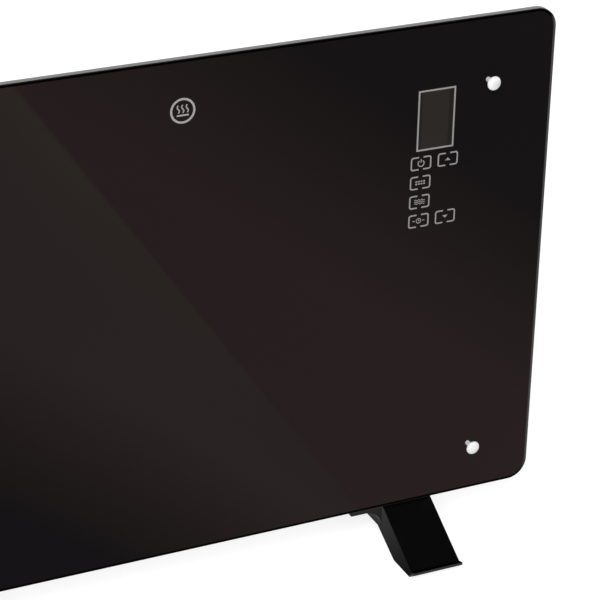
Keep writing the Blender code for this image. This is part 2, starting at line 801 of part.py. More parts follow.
def build_baffle():
    """Bent sheet that parts the hot side from the control bay."""
    back = inner_back - CLEARANCE
    front = plate_back + CLEARANCE + CASE_SHEET + CLEARANCE
    hot = bay_left - BAFFLE_SHEET
    path = [(hot, front), (hot, back), (bay_left + BAFFLE_FLANGE, back)]
    outline = sheet_outline(path, -BAFFLE_SHEET)
    baffle = prism(outline, "Z", panel_low + CLEARANCE, panel_high - CLEARANCE)
    name_piece(baffle, "heat_baffle", "bright_steel", smooth=False)


def element_ends():
    """Faces of the two element brackets that look at the element, left and right."""
    left = -panel_half + BRACKET_FOOT + ELEMENT_END_GAP
    rod_end = BRACKET_SHEET + BUSH_BODY + SHEATH_PAST_BUSH + PIN_LENGTH
    return left, bay_left - BAFFLE_SHEET - rod_end - ELEMENT_END_GAP


def element_axis():
    """Depth and height of the element's axis, midway between the front plate and the reflector."""
    reflector = inner_back - CLEARANCE - REFLECTOR_STANDOFF - REFLECTOR_SHEET
    return (case_front + reflector) / 2, case_low + ELEMENT_ABOVE_CASE


def wing_path(depth_sign, height_sign):
    """Centre line of one curved wing of the element, from the hub outwards."""
    y, z = element_axis()
    straight = WING_STRAIGHT_SHARE
    path = []
    for k in range(ARC_STEPS + 1):
        t = k / ARC_STEPS
        reach = WING_HALF_DEPTH * math.sin(t * math.pi / 2)
        rise = WING_HALF_HEIGHT * (straight * t + (1 - straight) * t * t)
        path.append((y + depth_sign * reach, z + height_sign * rise))
    return path


def build_element():
    """Finned heating element: an X-shaped extrusion with slit wings on a sheathed rod."""
    left, right = element_ends()
    y, z = element_axis()
    fin_gap = BUSH_FLANGE + CLEARANCE
    low = left + fin_gap + CLEARANCE
    high = right - fin_gap - CLEARANCE
    fins = rod("X", (0.0, y, z), HUB_RADIUS, low, high, TURN_STEPS)
    for depth_sign in (-1, 1):
        for height_sign in (-1, 1):
            path = wing_path(depth_sign, height_sign)
            thickness = WING_THICKNESS * depth_sign * height_sign
            fuse(fins, prism(sheet_outline(path, thickness), "X", low, high))
    reach = WING_HALF_DEPTH + 2 * WING_THICKNESS
    count = int((high - low) / FIN_PITCH) - 1
    first = (low + high) / 2 - (count - 1) * FIN_PITCH / 2
    slits = []
    for k in range(count):
        x = first + k * FIN_PITCH
        for sign in (-1, 1):
            near = z + sign * FIN_SLIT_START
            far = z + sign * (WING_HALF_HEIGHT + 2 * WING_THICKNESS)
            slits.append(block(
                (x - FIN_SLIT / 2, y - reach, min(near, far)),
                (x + FIN_SLIT / 2, y + reach, max(near, far))))
    bore = SHEATH_RADIUS + CLEARANCE
    slits.append(rod("X", (0.0, y, z), bore, low - OVERCUT, high + OVERCUT, TURN_STEPS))
    cut(fins, gather(slits))
    name_piece(fins, "element_fins", "aluminium")

    bush_end = BRACKET_SHEET + BUSH_BODY
    start = left - bush_end - SHEATH_PAST_BUSH
    end = right + bush_end + SHEATH_PAST_BUSH
    profile = [
        (start - PIN_LENGTH, 0.0),
        (start - PIN_LENGTH, PIN_RADIUS),
        (start, PIN_RADIUS),
        (start, SHEATH_RADIUS),
        (end, SHEATH_RADIUS),
        (end, PIN_RADIUS),
        (end + PIN_LENGTH, PIN_RADIUS),
        (end + PIN_LENGTH, 0.0),
    ]
    name_piece(turned(profile, "X", (0.0, y, z)), "element_rod", "bright_steel")


def build_element_mounts():
    """Sheet brackets on the back of the case, with ceramic bushes that carry the element rod."""
    y, z = element_axis()
    back = inner_back - CLEARANCE
    bore = SHEATH_RADIUS + CLEARANCE
    for word, face, sign in (("left", element_ends()[0], -1), ("right", element_ends()[1], 1)):
        front = y - BRACKET_LIP
        path = [(face, front), (face, back), (face + sign * BRACKET_FOOT, back)]
        outline = sheet_outline(path, -sign * BRACKET_SHEET)
        bracket = prism(outline, "Z", z - BRACKET_HEIGHT / 2, z + BRACKET_HEIGHT / 2)
        hole = BUSH_RADIUS + CLEARANCE
        low, high = sorted((face - sign * OVERCUT, face + sign * (BRACKET_SHEET + OVERCUT)))
        cut(bracket, rod("X", (0.0, y, z), hole, low, high, TURN_STEPS))
        name_piece(bracket, f"element_bracket_{word}", "bright_steel", smooth=False)

        inner = face - sign * (BUSH_FLANGE + CLEARANCE)
        seat = face - sign * CLEARANCE
        outer = face + sign * (BRACKET_SHEET + BUSH_BODY)
        profile = [(inner, bore), (inner, BUSH_FLANGE_RADIUS), (seat, BUSH_FLANGE_RADIUS)]
        profile += [(seat, BUSH_RADIUS), (outer, BUSH_RADIUS - BUSH_TAPER), (outer, bore)]
        bush = turned(profile, "X", (0.0, y, z), TURN_STEPS, closed=True)
        name_piece(bush, f"element_bush_{word}", "ceramic")


def build_reflector():
    """Bright hat-shaped sheet between the element and the back of the case."""
    _, z = element_axis()
    back = inner_back - CLEARANCE
    front = back - REFLECTOR_STANDOFF
    low = z - REFLECTOR_BELOW
    high = z + REFLECTOR_ABOVE
    lean = REFLECTOR_STANDOFF / 2
    path = [(back, low - REFLECTOR_TAB), (back, low), (front, low + lean)]
    path += [(front, high - lean), (back, high), (back, high + REFLECTOR_TAB)]
    outline = sheet_outline(path, REFLECTOR_SHEET)
    left, right = element_ends()
    gap = BRACKET_SHEET
    reflector = prism(outline, "X", left + gap, right - gap)
    name_piece(reflector, "heat_reflector", "aluminium", smooth=False)


def build_cutout():
    """Disc-shaped safety cut-out on the hot side of the baffle."""
    y, z = element_axis()
    z += CUTOUT_ABOVE_ELEMENT
    face = bay_left - BAFFLE_SHEET - CLEARANCE
    profile = [
        (face, 0.0),
        (face, CUTOUT_FLANGE_RADIUS),
        (face - CUTOUT_FLANGE, CUTOUT_FLANGE_RADIUS),
        (face - CUTOUT_FLANGE, CUTOUT_RADIUS),
        (face - CUTOUT_HEIGHT, CUTOUT_RADIUS - CUTOUT_TAPER),
        (face - CUTOUT_HEIGHT, 0.0),
    ]
    name_piece(turned(profile, "X", (0.0, y, z)), "safety_cutout", "black_moulding")


def build_controls():
    """Moulded tray behind the glass with the touch board and the display in it."""
    x0, z0, x1, z1 = tray_box()
    front = glass_back + CLEARANCE
    flange_front = plate_back + CLEARANCE
    back = flange_front + TRAY_DEPTH_IN_CASE
    floor = back - TRAY_WALL
    tray = block((x0, front, z0), (x1, back, z1))
    flange = block(
        (x0 - TRAY_FLANGE, flange_front, z0 - TRAY_FLANGE),
        (x1 + TRAY_FLANGE, flange_front + TRAY_WALL, z1 + TRAY_FLANGE))
    fuse(tray, flange)
    wall = TRAY_WALL
    cut(tray, block((x0 + wall, front - OVERCUT, z0 + wall), (x1 - wall, floor, z1 - wall)))

    board_low = z0 + wall + CLEARANCE
    board_high = board_low + KEYS_HEIGHT + TRAY_MARGIN - 2 * CLEARANCE
    board_left = x0 + wall + CLEARANCE
    board_right = x1 - wall - CLEARANCE
    board_back = front + TOUCH_BOARD
    inset = 2 * BOSS_RADIUS
    for x in (board_left + inset, board_right - inset):
        for z in (board_low + inset, board_high - inset):
            fuse(tray, rod("Y", (x, 0.0, z), BOSS_RADIUS, board_back + CLEARANCE, floor + wall / 2))
    name_piece(tray, "control_tray", "black_moulding", smooth=False)
    board = block((board_left, front, board_low), (board_right, board_back, board_high))
    name_piece(board, "touch_board", "circuit_board", smooth=False)

    x = GLASS_WIDTH / 2 - DISPLAY_FROM_SIDE
    z = glass_high - DISPLAY_FROM_TOP
    half_x = DISPLAY_WIDTH / 2 + DISPLAY_BORDER
    half_z = DISPLAY_HEIGHT / 2 + DISPLAY_BORDER
    module = block((x - half_x, front, z - half_z), (x + half_x, floor - CLEARANCE, z + half_z))
    name_piece(module, "display_module", "display", smooth=False)


def build_power_board():
    """Carrier on the back of the case with the power board, two relays and the supply."""
    x = (bay_left + BAFFLE_FLANGE + panel_half) / 2
    z = case_low + BOARD_ABOVE_CASE + BOARD_HEIGHT / 2
    half_x = BOARD_WIDTH / 2
    half_z = BOARD_HEIGHT / 2
    back = inner_back - CLEARANCE
    base = back - CARRIER_THICKNESS
    post = base - CARRIER_POST
    edge = BOARD_MARGIN
    outline = rounded_rectangle(
        x - half_x - edge, z - half_z - edge, x + half_x + edge, z + half_z + edge,
        edge, SMALL_ARC_STEPS)
    carrier = prism(outline, "Y", base, back)
    post_x = half_x - POST_FROM_EDGE
    post_z = half_z - POST_FROM_EDGE
    for px in (x - post_x, x + post_x):
        for pz in (z - post_z, z + post_z):
            middle = (base + back) / 2
            fuse(carrier, rod("Y", (px, 0.0, pz), CARRIER_POST_RADIUS, post, middle))
    name_piece(carrier, "board_carrier", "black_moulding", smooth=False)

    board_back = post - CLEARANCE
    board_front = board_back - BOARD_THICKNESS
    board = block((x - half_x, board_front, z - half_z), (x + half_x, board_back, z + half_z))
    name_piece(board, "power_board", "circuit_board", smooth=False)

    seat = board_front - CLEARANCE
    width, depth, height = RELAY_SIZE
    rz = z - half_z + RELAY_FROM_BOTTOM
    for k, side in enumerate((-1, 1)):
        rx = x + side * RELAY_PITCH / 2
        relay = block(
            (rx - width / 2, seat - depth, rz - height / 2), (rx + width / 2, seat, rz + height / 2))
        name_piece(relay, f"relay_{k + 1}", "relay_case", smooth=False)

    width, depth, height = TRANSFORMER_COIL
    tx = x - half_x + TRANSFORMER_FROM_SIDE
    tz = z + half_z - TRANSFORMER_FROM_TOP
    coil = block(
        (tx - width / 2, seat - depth, tz - height / 2), (tx + width / 2, seat, tz + height / 2))
    middle = seat - depth / 2
    width, depth, height = TRANSFORMER_CORE
    core = block(
        (tx - width / 2, middle - depth / 2, tz - height / 2),
        (tx + width / 2, middle + depth / 2, tz + height / 2))
    fuse(coil, core)
    name_piece(coil, "supply_transformer", "black_moulding", smooth=False)

    cx = x + half_x - CAPACITOR_FROM_SIDE
    groove = seat - CAPACITOR_GROOVE_HEIGHT
    end = seat - CAPACITOR_HEIGHT
    profile = [
        (seat, 0.0),
        (seat, CAPACITOR_RADIUS),
        (groove + CAPACITOR_GROOVE, CAPACITOR_RADIUS),
        (groove, CAPACITOR_RADIUS - CAPACITOR_GROOVE),
        (groove - CAPACITOR_GROOVE, CAPACITOR_RADIUS),
        (end + CAPACITOR_GROOVE, CAPACITOR_RADIUS),
        (end, CAPACITOR_RADIUS - CAPACITOR_GROOVE),
        (end, 0.0),
    ]
    name_piece(turned(profile, "Y", (cx, 0.0, tz)), "capacitor", "aluminium")


def build_terminal_block():
    """Terminal block for the mains leads, with two rows of screw wells."""
    width, depth, height = TERMINAL_SIZE
    x = (bay_left + inner_half) / 2
    z = case_low + TERMINAL_ABOVE_CASE
    back = inner_back - CLEARANCE
    front = back - depth
    body = block((x - width / 2, front, z), (x + width / 2, back, z + height))
    wells = []
    rows = (z + height / 2 - TERMINAL_ROW_PITCH / 2, z + height / 2 + TERMINAL_ROW_PITCH / 2)
    for k in range(TERMINAL_WAYS):
        wx = x - width / 2 + width * (k + 0.5) / TERMINAL_WAYS
        for wz in rows:
            wells.append(rod(
                "Y", (wx, 0.0, wz), TERMINAL_WELL_RADIUS,
                front - OVERCUT, front + TERMINAL_WELL_DEPTH))
    cut(body, gather(wells))
    name_piece(body, "terminal_block", "white_moulding", smooth=False)


def build_room_sensor():
    """Room temperature probe in a clip on the cool side of the baffle."""
    width, depth, height = SENSOR_CLIP
    left = bay_left + CLEARANCE
    y = plate_back + SENSOR_FROM_PLATE
    z = case_low + SENSOR_ABOVE_CASE
    low = z - height / 2
    high = z + height / 2
    clip = block((left, y - depth / 2, low), (left + width, y + depth / 2, high))
    x = left + width / 2
    bore = SENSOR_RADIUS + CLEARANCE
    cut(clip, rod("Z", (x, y, 0.0), bore, low - OVERCUT, high + OVERCUT))
    name_piece(clip, "sensor_clip", "white_moulding", smooth=False)
    low = z - SENSOR_LENGTH / 2
    tip = SENSOR_RADIUS / 2
    profile = [
        (low, 0.0),
        (low, tip),
        (low + tip, SENSOR_RADIUS),
        (low + SENSOR_LENGTH, SENSOR_RADIUS),
        (low + SENSOR_LENGTH, 0.0),
    ]
    probe = turned(profile, "Z", (x, y, 0.0), SMALL_TURN_STEPS)
    name_piece(probe, "room_sensor", "bright_steel")


def tip_switch_pivot():
    """Pivot of the tip-over switch's weight, and the half width and half height of its room."""
    swing = TIP_ARM * math.sin(TIP_SWING) + TIP_BOB_RADIUS + CLEARANCE
    x = (bay_left + inner_half) / 2
    y = inner_back - CLEARANCE - TIP_WALL - swing
    return Vector((x, y, case_low + TIP_ABOVE_CASE)), swing


def build_tip_switch():
    """Tip-over switch: an open box with a pin, its cover, and a weight that hangs on the pin."""
    pivot, swing = tip_switch_pivot()
    half_x = TIP_INNER_WIDTH / 2
    top = pivot.z + TIP_HUB_RADIUS + 2 * CLEARANCE
    bottom = pivot.z - TIP_ARM - TIP_BOB_RADIUS - 2 * CLEARANCE
    wall = TIP_WALL
    left = pivot.x - half_x
    right = pivot.x + half_x
    box = block(
        (left - wall, pivot.y - swing - wall, bottom - wall),
        (right, pivot.y + swing + wall, top + wall))
    cut(box, block((left, pivot.y - swing, bottom), (right + OVERCUT, pivot.y + swing, top)))
    axle = (0.0, pivot.y, pivot.z)
    fuse(box, rod("X", axle, TIP_PIN_RADIUS, left - wall / 2, right - CLEARANCE))
    name_piece(box, "tip_switch_box", "black_moulding", smooth=False)

    cover = block(
        (right + CLEARANCE, pivot.y - swing - wall, bottom - wall),
        (right + CLEARANCE + wall, pivot.y + swing + wall, top + wall))
    name_piece(cover, "tip_switch_cover", "white_moulding", smooth=False)

    hub_low = left + CLEARANCE
    hub_high = right - 2 * CLEARANCE
    bob_middle = (hub_low + hub_high) / 2
    weight = rod("X", axle, TIP_HUB_RADIUS, hub_low, hub_high, TURN_STEPS)
    arm = block(
        (bob_middle - TIP_ARM_WIDTH / 2, pivot.y - TIP_ARM_WIDTH / 2, pivot.z - TIP_ARM),
        (bob_middle + TIP_ARM_WIDTH / 2, pivot.y + TIP_ARM_WIDTH / 2, pivot.z))
    half = min(TIP_BOB_THICKNESS, hub_high - hub_low) / 2
    bob_centre = (0.0, pivot.y, pivot.z - TIP_ARM)
    bob = rod("X", bob_centre, TIP_BOB_RADIUS, bob_middle - half, bob_middle + half, TURN_STEPS)
    fuse(weight, arm, bob)
    bore = TIP_PIN_RADIUS + CLEARANCE
    cut(weight, rod("X", axle, bore, hub_low - OVERCUT, hub_high + OVERCUT))
    name_piece(weight, "tip_switch_weight", "bright_steel", origin=tuple(pivot))


def build_rocker_switch():
    """Mains rocker switch: a bezelled body with blades, and a rocker on two short pins."""
    z = rocker_height()
    seat = case_half + CLEARANCE
    bezel_top = seat + ROCKER_BEZEL_HEIGHT
    body_back = seat - ROCKER_BODY_DEPTH
    half_y, half_z = ROCKER_BODY[0] / 2, ROCKER_BODY[1] / 2
    body = block((body_back, -half_y, z - half_z), ((seat + bezel_top) / 2, half_y, z + half_z))
    edge_y, edge_z = ROCKER_BEZEL[0] / 2, ROCKER_BEZEL[1] / 2
    bezel = prism(
        rounded_rectangle(
            -edge_y, z - edge_z, edge_y, z + edge_z, ROCKER_WALL, SMALL_ARC_STEPS),
        "X", seat, bezel_top)
    fuse(body, bezel)
    room_y = half_y - ROCKER_WALL
    room_z = half_z - ROCKER_WALL
    floor = seat - ROCKER_CAVITY_DEPTH
    cut(body, block((floor, -room_y, z - room_z), (bezel_top + OVERCUT, room_y, z + room_z)))

    pivot = (seat, 0.0, z)
    socket = room_y + ROCKER_PIN_LENGTH
    cut(body, rod("Y", pivot, ROCKER_PIN_RADIUS + CLEARANCE, -socket, socket))
    length, width, thickness = ROCKER_BLADE
    for side in (-1, 1):
        bz = z + side * ROCKER_BLADE_PITCH / 2
        blade = block(
            (body_back - length, -width / 2, bz - thickness / 2),
            (body_back + ROCKER_WALL, width / 2, bz + thickness / 2))
        fuse(body, blade)
    name_piece(body, "rocker_body", "black_moulding", smooth=False)

    # The rocker's ends are arcs about its pivot, so they keep their gap while it tips
    radius = room_z - CLEARANCE
    high = math.asin((ROCKER_BEZEL_HEIGHT + ROCKER_EDGE / 2) / radius)
    low = -math.asin(ROCKER_SKIRT / radius)
    profile = [(ROCKER_DIP, 0.0)]
    profile += [(radius * math.sin(a), radius * math.cos(a)) for a in (high, high / 2, 0.0, low)]
    profile += [(-ROCKER_SKIRT - ROCKER_DIP, 0.0)]
    profile += [(radius * math.sin(a), -radius * math.cos(a)) for a in (low, 0.0, high / 2, high)]
    outline = [(seat + u, z + v) for u, v in profile]
    key_y = room_y - CLEARANCE
    bm = bmesh.new()
    ends = [[bm.verts.new((u, y, v)) for u, v in outline] for y in (-key_y, key_y)]
    bm.faces.new(ends[0])
    bm.faces.new(ends[1])
    for i in range(len(outline)):
        j = (i + 1) % len(outline)
        bm.faces.new((ends[0][i], ends[0][j], ends[1][j], ends[1][i]))
    key = to_object(bm)
    pin = socket - CLEARANCE
    fuse(key, rod("Y", pivot, ROCKER_PIN_RADIUS, -pin, pin))
    turn = Matrix.Rotation(ROCKER_THROW / 2, 4, "Y")
    name_piece(key, "rocker_key", "black_moulding", origin=pivot, smooth=False)
    key.data.transform(turn)


def build_gland():
    """Flanged gland in the right side of the case, where the mains cord would enter."""
    seat = case_half + CLEARANCE
    tail = inner_half - GLAND_TAIL
    profile = [
        (tail, GLAND_BORE_RADIUS),
        (tail, GLAND_RADIUS - GLAND_TAPER),
        (inner_half - CLEARANCE, GLAND_RADIUS),
        (seat, GLAND_RADIUS),
        (seat, GLAND_FLANGE_RADIUS),
        (seat + GLAND_FLANGE - GLAND_EDGE, GLAND_FLANGE_RADIUS),
        (seat + GLAND_FLANGE, GLAND_FLANGE_RADIUS - GLAND_EDGE),
        (seat + GLAND_FLANGE, GLAND_BORE_RADIUS),
    ]
    gland = turned(profile, "X", (0.0, 0.0, gland_height()), TURN_STEPS, closed=True)
    name_piece(gland, "cord_gland", "black_moulding")


def foot_top(y):
    """Height of the foot's top face over the floor at a depth y."""
    kink = FOOT_REACH - FOOT_LIP_LENGTH
    slope = (saddle_top - FOOT_LIP_HEIGHT) / (kink - FOOT_SADDLE_HALF)
    return min(saddle_top, max(FOOT_LIP_HEIGHT, FOOT_LIP_HEIGHT + slope * (kink - abs(y))))


def both_ways(points):
    """Half outline from the front end to the middle, followed by its mirror image."""
    return points + [(-y, z) for y, z in reversed(points)]


def build_foot(word, side):
    """Moulded foot: a bent channel with a flat saddle, sloping legs, ribs and an inner ear."""
    inner = foot_inner
    outer = inner + FOOT_WIDTH
    kink = FOOT_REACH - FOOT_LIP_LENGTH
    lip_bottom = FOOT_LIP_HEIGHT - FOOT_LIP_THICKNESS
    upper = [(-FOOT_REACH, lip_bottom), (-FOOT_REACH, FOOT_LIP_HEIGHT)]
    upper += [(-kink, FOOT_LIP_HEIGHT), (-FOOT_SADDLE_HALF, saddle_top)]
    lower = [(-FOOT_REACH + FOOT_TOE, 0.0), (-FOOT_CONTACT_END, 0.0)]
    lower += [(-FOOT_ARCH_HALF, FOOT_ARCH_HEIGHT)]
    outline = both_ways(upper) + list(reversed(both_ways(lower)))
    foot = prism(outline, "X", *sorted((side * inner, side * outer)))

    # Three cells from below leave the top plate, the side walls and two cross ribs
    slope = (saddle_top - FOOT_LIP_HEIGHT) / (kink - FOOT_SADDLE_HALF)
    drop = FOOT_PLATE * math.sqrt(1 + slope * slope)
    floor = -OVERCUT
    toe = -FOOT_REACH + FOOT_TOE_SOLID
    rib_front = -FOOT_SADDLE_HALF - FOOT_RIB / 2
    rib_back = -FOOT_SADDLE_HALF + FOOT_RIB / 2
    leg = [(toe, floor), (toe, foot_top(toe) - drop)]
    leg += [(rib_front, foot_top(rib_front) - drop), (rib_front, floor)]
    middle = [(rib_back, floor), (rib_back, saddle_top - FOOT_PLATE)]
    middle += [(-rib_back, saddle_top - FOOT_PLATE), (-rib_back, floor)]
    rear_leg = [(-y, z) for y, z in leg]
    low, high = sorted((side * (inner + FOOT_WALL), side * (outer - FOOT_WALL)))
    cut(foot, gather([prism(cell, "X", low, high) for cell in (leg, middle, rear_leg)]))

    ear_bottom = saddle_top - EAR_THICKNESS
    root = inner + FOOT_WALL / 2
    tip = ear_tip
    half = FOOT_SADDLE_HALF
    radius = EAR_CORNER_RADIUS
    plan = [(root, -half), (root, half)]
    plan += arc((tip + radius, half - radius), radius, math.pi / 2, math.pi)
    plan += arc((tip + radius, -half + radius), radius, math.pi, 3 * math.pi / 2)
    fuse(foot, prism([(side * x, y) for x, y in plan], "Z", ear_bottom, saddle_top))
    corner = (inner - EAR_FILLET, ear_bottom - EAR_FILLET)
    sweep = arc(corner, EAR_FILLET, math.pi / 2, 0.0)
    above = ear_bottom + EAR_THICKNESS / 2
    gusset = [(inner - EAR_FILLET, above)] + sweep + [(root, corner[1]), (root, above)]
    fuse(foot, prism([(side * x, z) for x, z in gusset], "Y", -half, half))

    hole = FOOT_SCREW_RADIUS + CLEARANCE
    holes = [
        rod("Z", (x, 0.0, 0.0), hole, seat - OVERCUT, saddle_top + OVERCUT)
        for name, x, seat in foot_screw_places() if word in name
    ]
    cut(foot, gather(holes))
    name_piece(foot, f"foot_{word}", "black_moulding", smooth=False)


def build_foot_screws():
    """Screws that hold the feet under the case."""
    head = (FOOT_SCREW_HEAD_RADIUS, FOOT_SCREW_HEAD_HEIGHT, FOOT_SCREW_HEAD_RIM)
    end = case_low + CASE_SHEET + FOOT_SCREW_PAST_SHEET
    for name, x, seat in foot_screw_places():
        top = seat - CLEARANCE
        profile = screw_profile(top, 1, head, FOOT_SCREW_RADIUS, end - top)
        screw = turned(profile, "Z", (x, 0.0, 0.0), SMALL_TURN_STEPS)
        name_piece(screw, name, "bright_steel")


def main():
    """Build every piece of the heater."""
    clear_scene()
    build_glass()
    build_studs()
    build_front_plate()
    build_plate_screws()
    build_rear_case()
    build_grille("outlet_grille", outlet_length, case_high, -1, OUTLET_BLADE_TILT)
    build_grille("inlet_grille", inlet_length, case_low, 1, INLET_BLADE_TILT)
    build_baffle()
    build_element()
    build_element_mounts()
    build_reflector()
    build_cutout()
    build_controls()
    build_power_board()
    build_terminal_block()
    build_room_sensor()
    build_tip_switch()
    build_rocker_switch()
    build_gland()
    build_foot("left", -1)
    build_foot("right", 1)
    build_foot_screws()


main()
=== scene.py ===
"""The looks of a glass panel heater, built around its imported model.

Metres, +Z up, origin on the floor under the middle of the heater. The glass faces -Y.
"""

import json
import math

import bmesh
import bpy
from mathutils import Matrix, Vector
from mathutils.bvhtree import BVHTree


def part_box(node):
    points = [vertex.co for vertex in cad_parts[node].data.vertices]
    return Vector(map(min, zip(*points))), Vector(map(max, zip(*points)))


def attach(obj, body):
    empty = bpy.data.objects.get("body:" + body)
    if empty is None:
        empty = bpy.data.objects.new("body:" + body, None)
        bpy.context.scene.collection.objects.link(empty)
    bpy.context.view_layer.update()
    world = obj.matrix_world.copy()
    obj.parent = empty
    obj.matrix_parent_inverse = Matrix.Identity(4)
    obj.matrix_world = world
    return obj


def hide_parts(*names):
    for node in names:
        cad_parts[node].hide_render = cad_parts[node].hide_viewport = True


# Camera, solved from the straight edges of the glass, the display and the foot
CAMERA_PLACE = Vector((-0.6364613, -1.5669026, 1.0692207))
CAMERA_TURN = (63.867457, -1.214814, -24.956718)
CAMERA_LENS = 152.2646
CAMERA_NEAR = 0.01
SENSOR = 36.0

# Floor as the camera sees it, then as it lights and shines on the object
FLOOR_SIZE = 16.0
FLOOR_ALBEDO = 0.35
FLOOR_MOTTLE = 1.02
FLOOR_GRAIN = 0.8
FLOOR_LIFT = 0.79
FLOOR_BOUNCE = 0.80
FLOOR_SHINE = (0.04, 0.34)
FLOOR_SHINE_Y = (-0.080, 0.050)

# World and lamp
WORLD_FILL = 0.50
CEILING_DARK = 0.02
CEILING_FROM = 0.20
CEILING_FULL = 0.70
LAMP_PLACE = Vector((-3.4, -5.4, 5.0))
LAMP_AIM = Vector((0.0, 0.0, 0.2))
LAMP_SIZE = 3.6
LAMP_POWER = 740.0

# The dark studio in front: gradients that fan out on the floor from a point behind the heater
FAN_POINT = (0.7336, 1.4909)
FAN_RIGHT = (-0.193, -0.050)
FAN_LEFT = (-0.358, -0.478)
GLOW_RIGHT = ((0.68, 0.60, 0.60), (0.43, 0.46, 0.37), (0.16, 0.20, 0.22))
GLOW_LEFT = ((0.76, 0.83, 0.78), (0.47, 0.50, 0.42), (0.16, 0.21, 0.24))
CARD_EDGE = ((0.2332, -1.0786), (0.1840, -0.1204))
CARD_STRIP = 0.085
CARD_FEATHER = 0.001
STRIP_COLORS = ((0.90, 1.10, 0.80), (0.70, 0.70, 0.69))
STRIP_FROM = -0.85
STRIP_TO = -0.20
STUDIO_START = -0.078

# Glass
GLASS_CORNER = 0.016
GLASS_ARRIS = 0.0005
GLASS_MARGIN = 0.0018
# Where the painted light at the two ends of the clear margin begins and is full, as distances
# from the middle
MARGIN_FROM = 0.2950
MARGIN_FULL = 0.2985
CORNER_STEPS = 20
POLISHED = 0.97
RIM_FACING = 0.35
HOLE_RADIUS = 0.0018
HOLE_PAST = 0.002
HOLE_STEPS = 32
GLASS_SPECULAR = 0.25
GLASS_TINT = (1.0, 0.66, 0.67, 1.0)
GLASS_ROUGH = (0.02, 0.04)
EDGE_ROUGHER = 0.35
BACK_ROUGHER = 0.40

# Solids: steps round a turned piece, joined points, sharp edges and tight bends
TURN_STEPS = 48
POLE = 1e-6
SHARP = math.radians(24)
WELD = 0.00002
MITRE_LEAST = 0.3

# Studs
STUD_PLACES = ("top_left", "top_right", "low_left", "low_right")
STUD_HEAD_RADIUS = 0.0055
STUD_HEAD_DEPTH = 0.0024
STUD_DOME = 0.0013
STUD_RIM = 0.0005
STUD_NECK_RADIUS = 0.0021
STUD_CONE_DEPTH = 0.0005994
STUD_CONE_FLARE = 0.0006
STUD_SHANK_RADIUS = 0.0015
STUD_CHAMFER = 0.0004
STUD_SEAT_GAP = 0.0003
DOME_STEPS = 8
RIM_STEPS = 6
CONE_STEPS = 4

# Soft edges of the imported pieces
FINE_EDGE = 0.0002
ROUND_EDGE = 0.0003
SOFT_STEPS = 2

# Feet
FOOT_SHARP = math.radians(26)
FOOT_FLAT = math.radians(0.6)
FOOT_EDGE = 0.0006
FOOT_STEPS = 3
EAR_ROUND = 0.0025
EAR_TIP_ROUND = 0.0010
LIP_TOP = 0.0080
LIP_LOW = 0.0057
LIP_SHORTER = 0.0013
LIP_DROP = 0.0008
LIP_SPAN = 0.0080
# Upper faces of the lips that face up more than this take the rougher copy without shine: painted
# shade
LIP_FACING = 0.5
NEAR = 0.0001
BLACK_MOULDED = ((0.0005, 0.0005, 0.0005), (0.0012, 0.0012, 0.0011))
BLACK_GRAIN = 2600.0
BLACK_DEPTH = 0.00006

# Screws: the recess as shares of the head's radius, and its depth
RECESS_ARM = 0.42
RECESS_WIDTH = 0.12
RECESS_TAPER = 0.5
RECESS_DEPTH = 0.0012
RECESS_ABOVE = 0.0004

# Marks on the rocker
MARK_HEIGHT = 0.0030
MARK_LINE = 0.0005
MARK_FROM_END = 0.0046
MARK_STAND = 0.00006
MARK_SINK = 0.00006
MARK_STEPS = 28
RAY_START = 0.01

# Prints on the glass
INK_STAND = 0.00006
INK_SUNK = 0.00004
INK_SHADE = 0.94
INK_GREY = (0.213, 0.203, 0.195)
INK_PALE = (0.250, 0.240, 0.230)
KEY_LEFT_X = (0.1828, 0.2000)
KEY_RIGHT_X = (0.2053, 0.2223)
KEY_TOP_Z = 0.3329
KEY_PITCH = 0.0156
KEY_HEIGHT = 0.0108
KEY_LINE = 0.0011
KEY_CORNER = 0.0015
KEY_CORNER_STEPS = 5
KEY_GAP_SHARE = 0.22
KEY_ROWS = 4
ARROW_HALF = 0.0022
ARROW_BASE = 0.0010
ARROW_TIP = 0.0012

# Symbols in the keys
ICON_BOLD = 0.0008
ICON_LINE = 0.0006
ICON_FINE = 0.00048
POWER_RADIUS = 0.0025
POWER_ARC = (math.radians(125), math.radians(415))
POWER_STEPS = 30
POWER_STEM = (0.0006, 0.0033)
GRID_COLUMNS = 4
GRID_ROWS = 2
GRID_PITCH = (0.0022, 0.0020)
GRID_HALF = (0.0007, 0.0006)
GRID_CORNER = 0.0002
WAVES_LENGTH = 0.0088
WAVES_PITCH = 0.0015
WAVES_RISE = 0.0004
WAVES_CRESTS = 3
WAVES_STEPS = 24
CLOCK_RADIUS = 0.0019
CLOCK_STEPS = 32
CLOCK_HANDS = (0.0009, 0.0012)
CLOCK_TICK = (0.0032, 0.0050)

# Display
DISPLAY_X = (0.1876, 0.2172)
DISPLAY_Z = (0.3433, 0.3900)
DISPLAY_LINE = 0.0013
FILM_LEFT = 0.0026
FILM_RIGHT = 0.0044
FILM_FADE = 0.0004
FILM_COLORS = ((0.0142, 0.0118, 0.0104), (0.0166, 0.0140, 0.0122))
FILM_EDGE_COLORS = ((0.0090, 0.0083, 0.0079), (0.0106, 0.0099, 0.0094))

# Round sign
SIGN_PLACE = (0.0, 0.4035)
SIGN_RADIUS = 0.0096
SIGN_LINE = 0.0016
SIGN_STEPS = 72
SIGN_WAVE_PITCH = 0.0034
SIGN_WAVE_SWAY = 0.0008
SIGN_WAVE_LOW = -0.0016
SIGN_WAVE_HEIGHT = 0.0060
SIGN_WAVE_LINE = 0.0009
SIGN_WAVE_STEPS = 20
SIGN_BAR_HALF = 0.0046
SIGN_BAR_Z = (-0.0040, -0.0028)
SIGN_BAR_CORNER = 0.0004

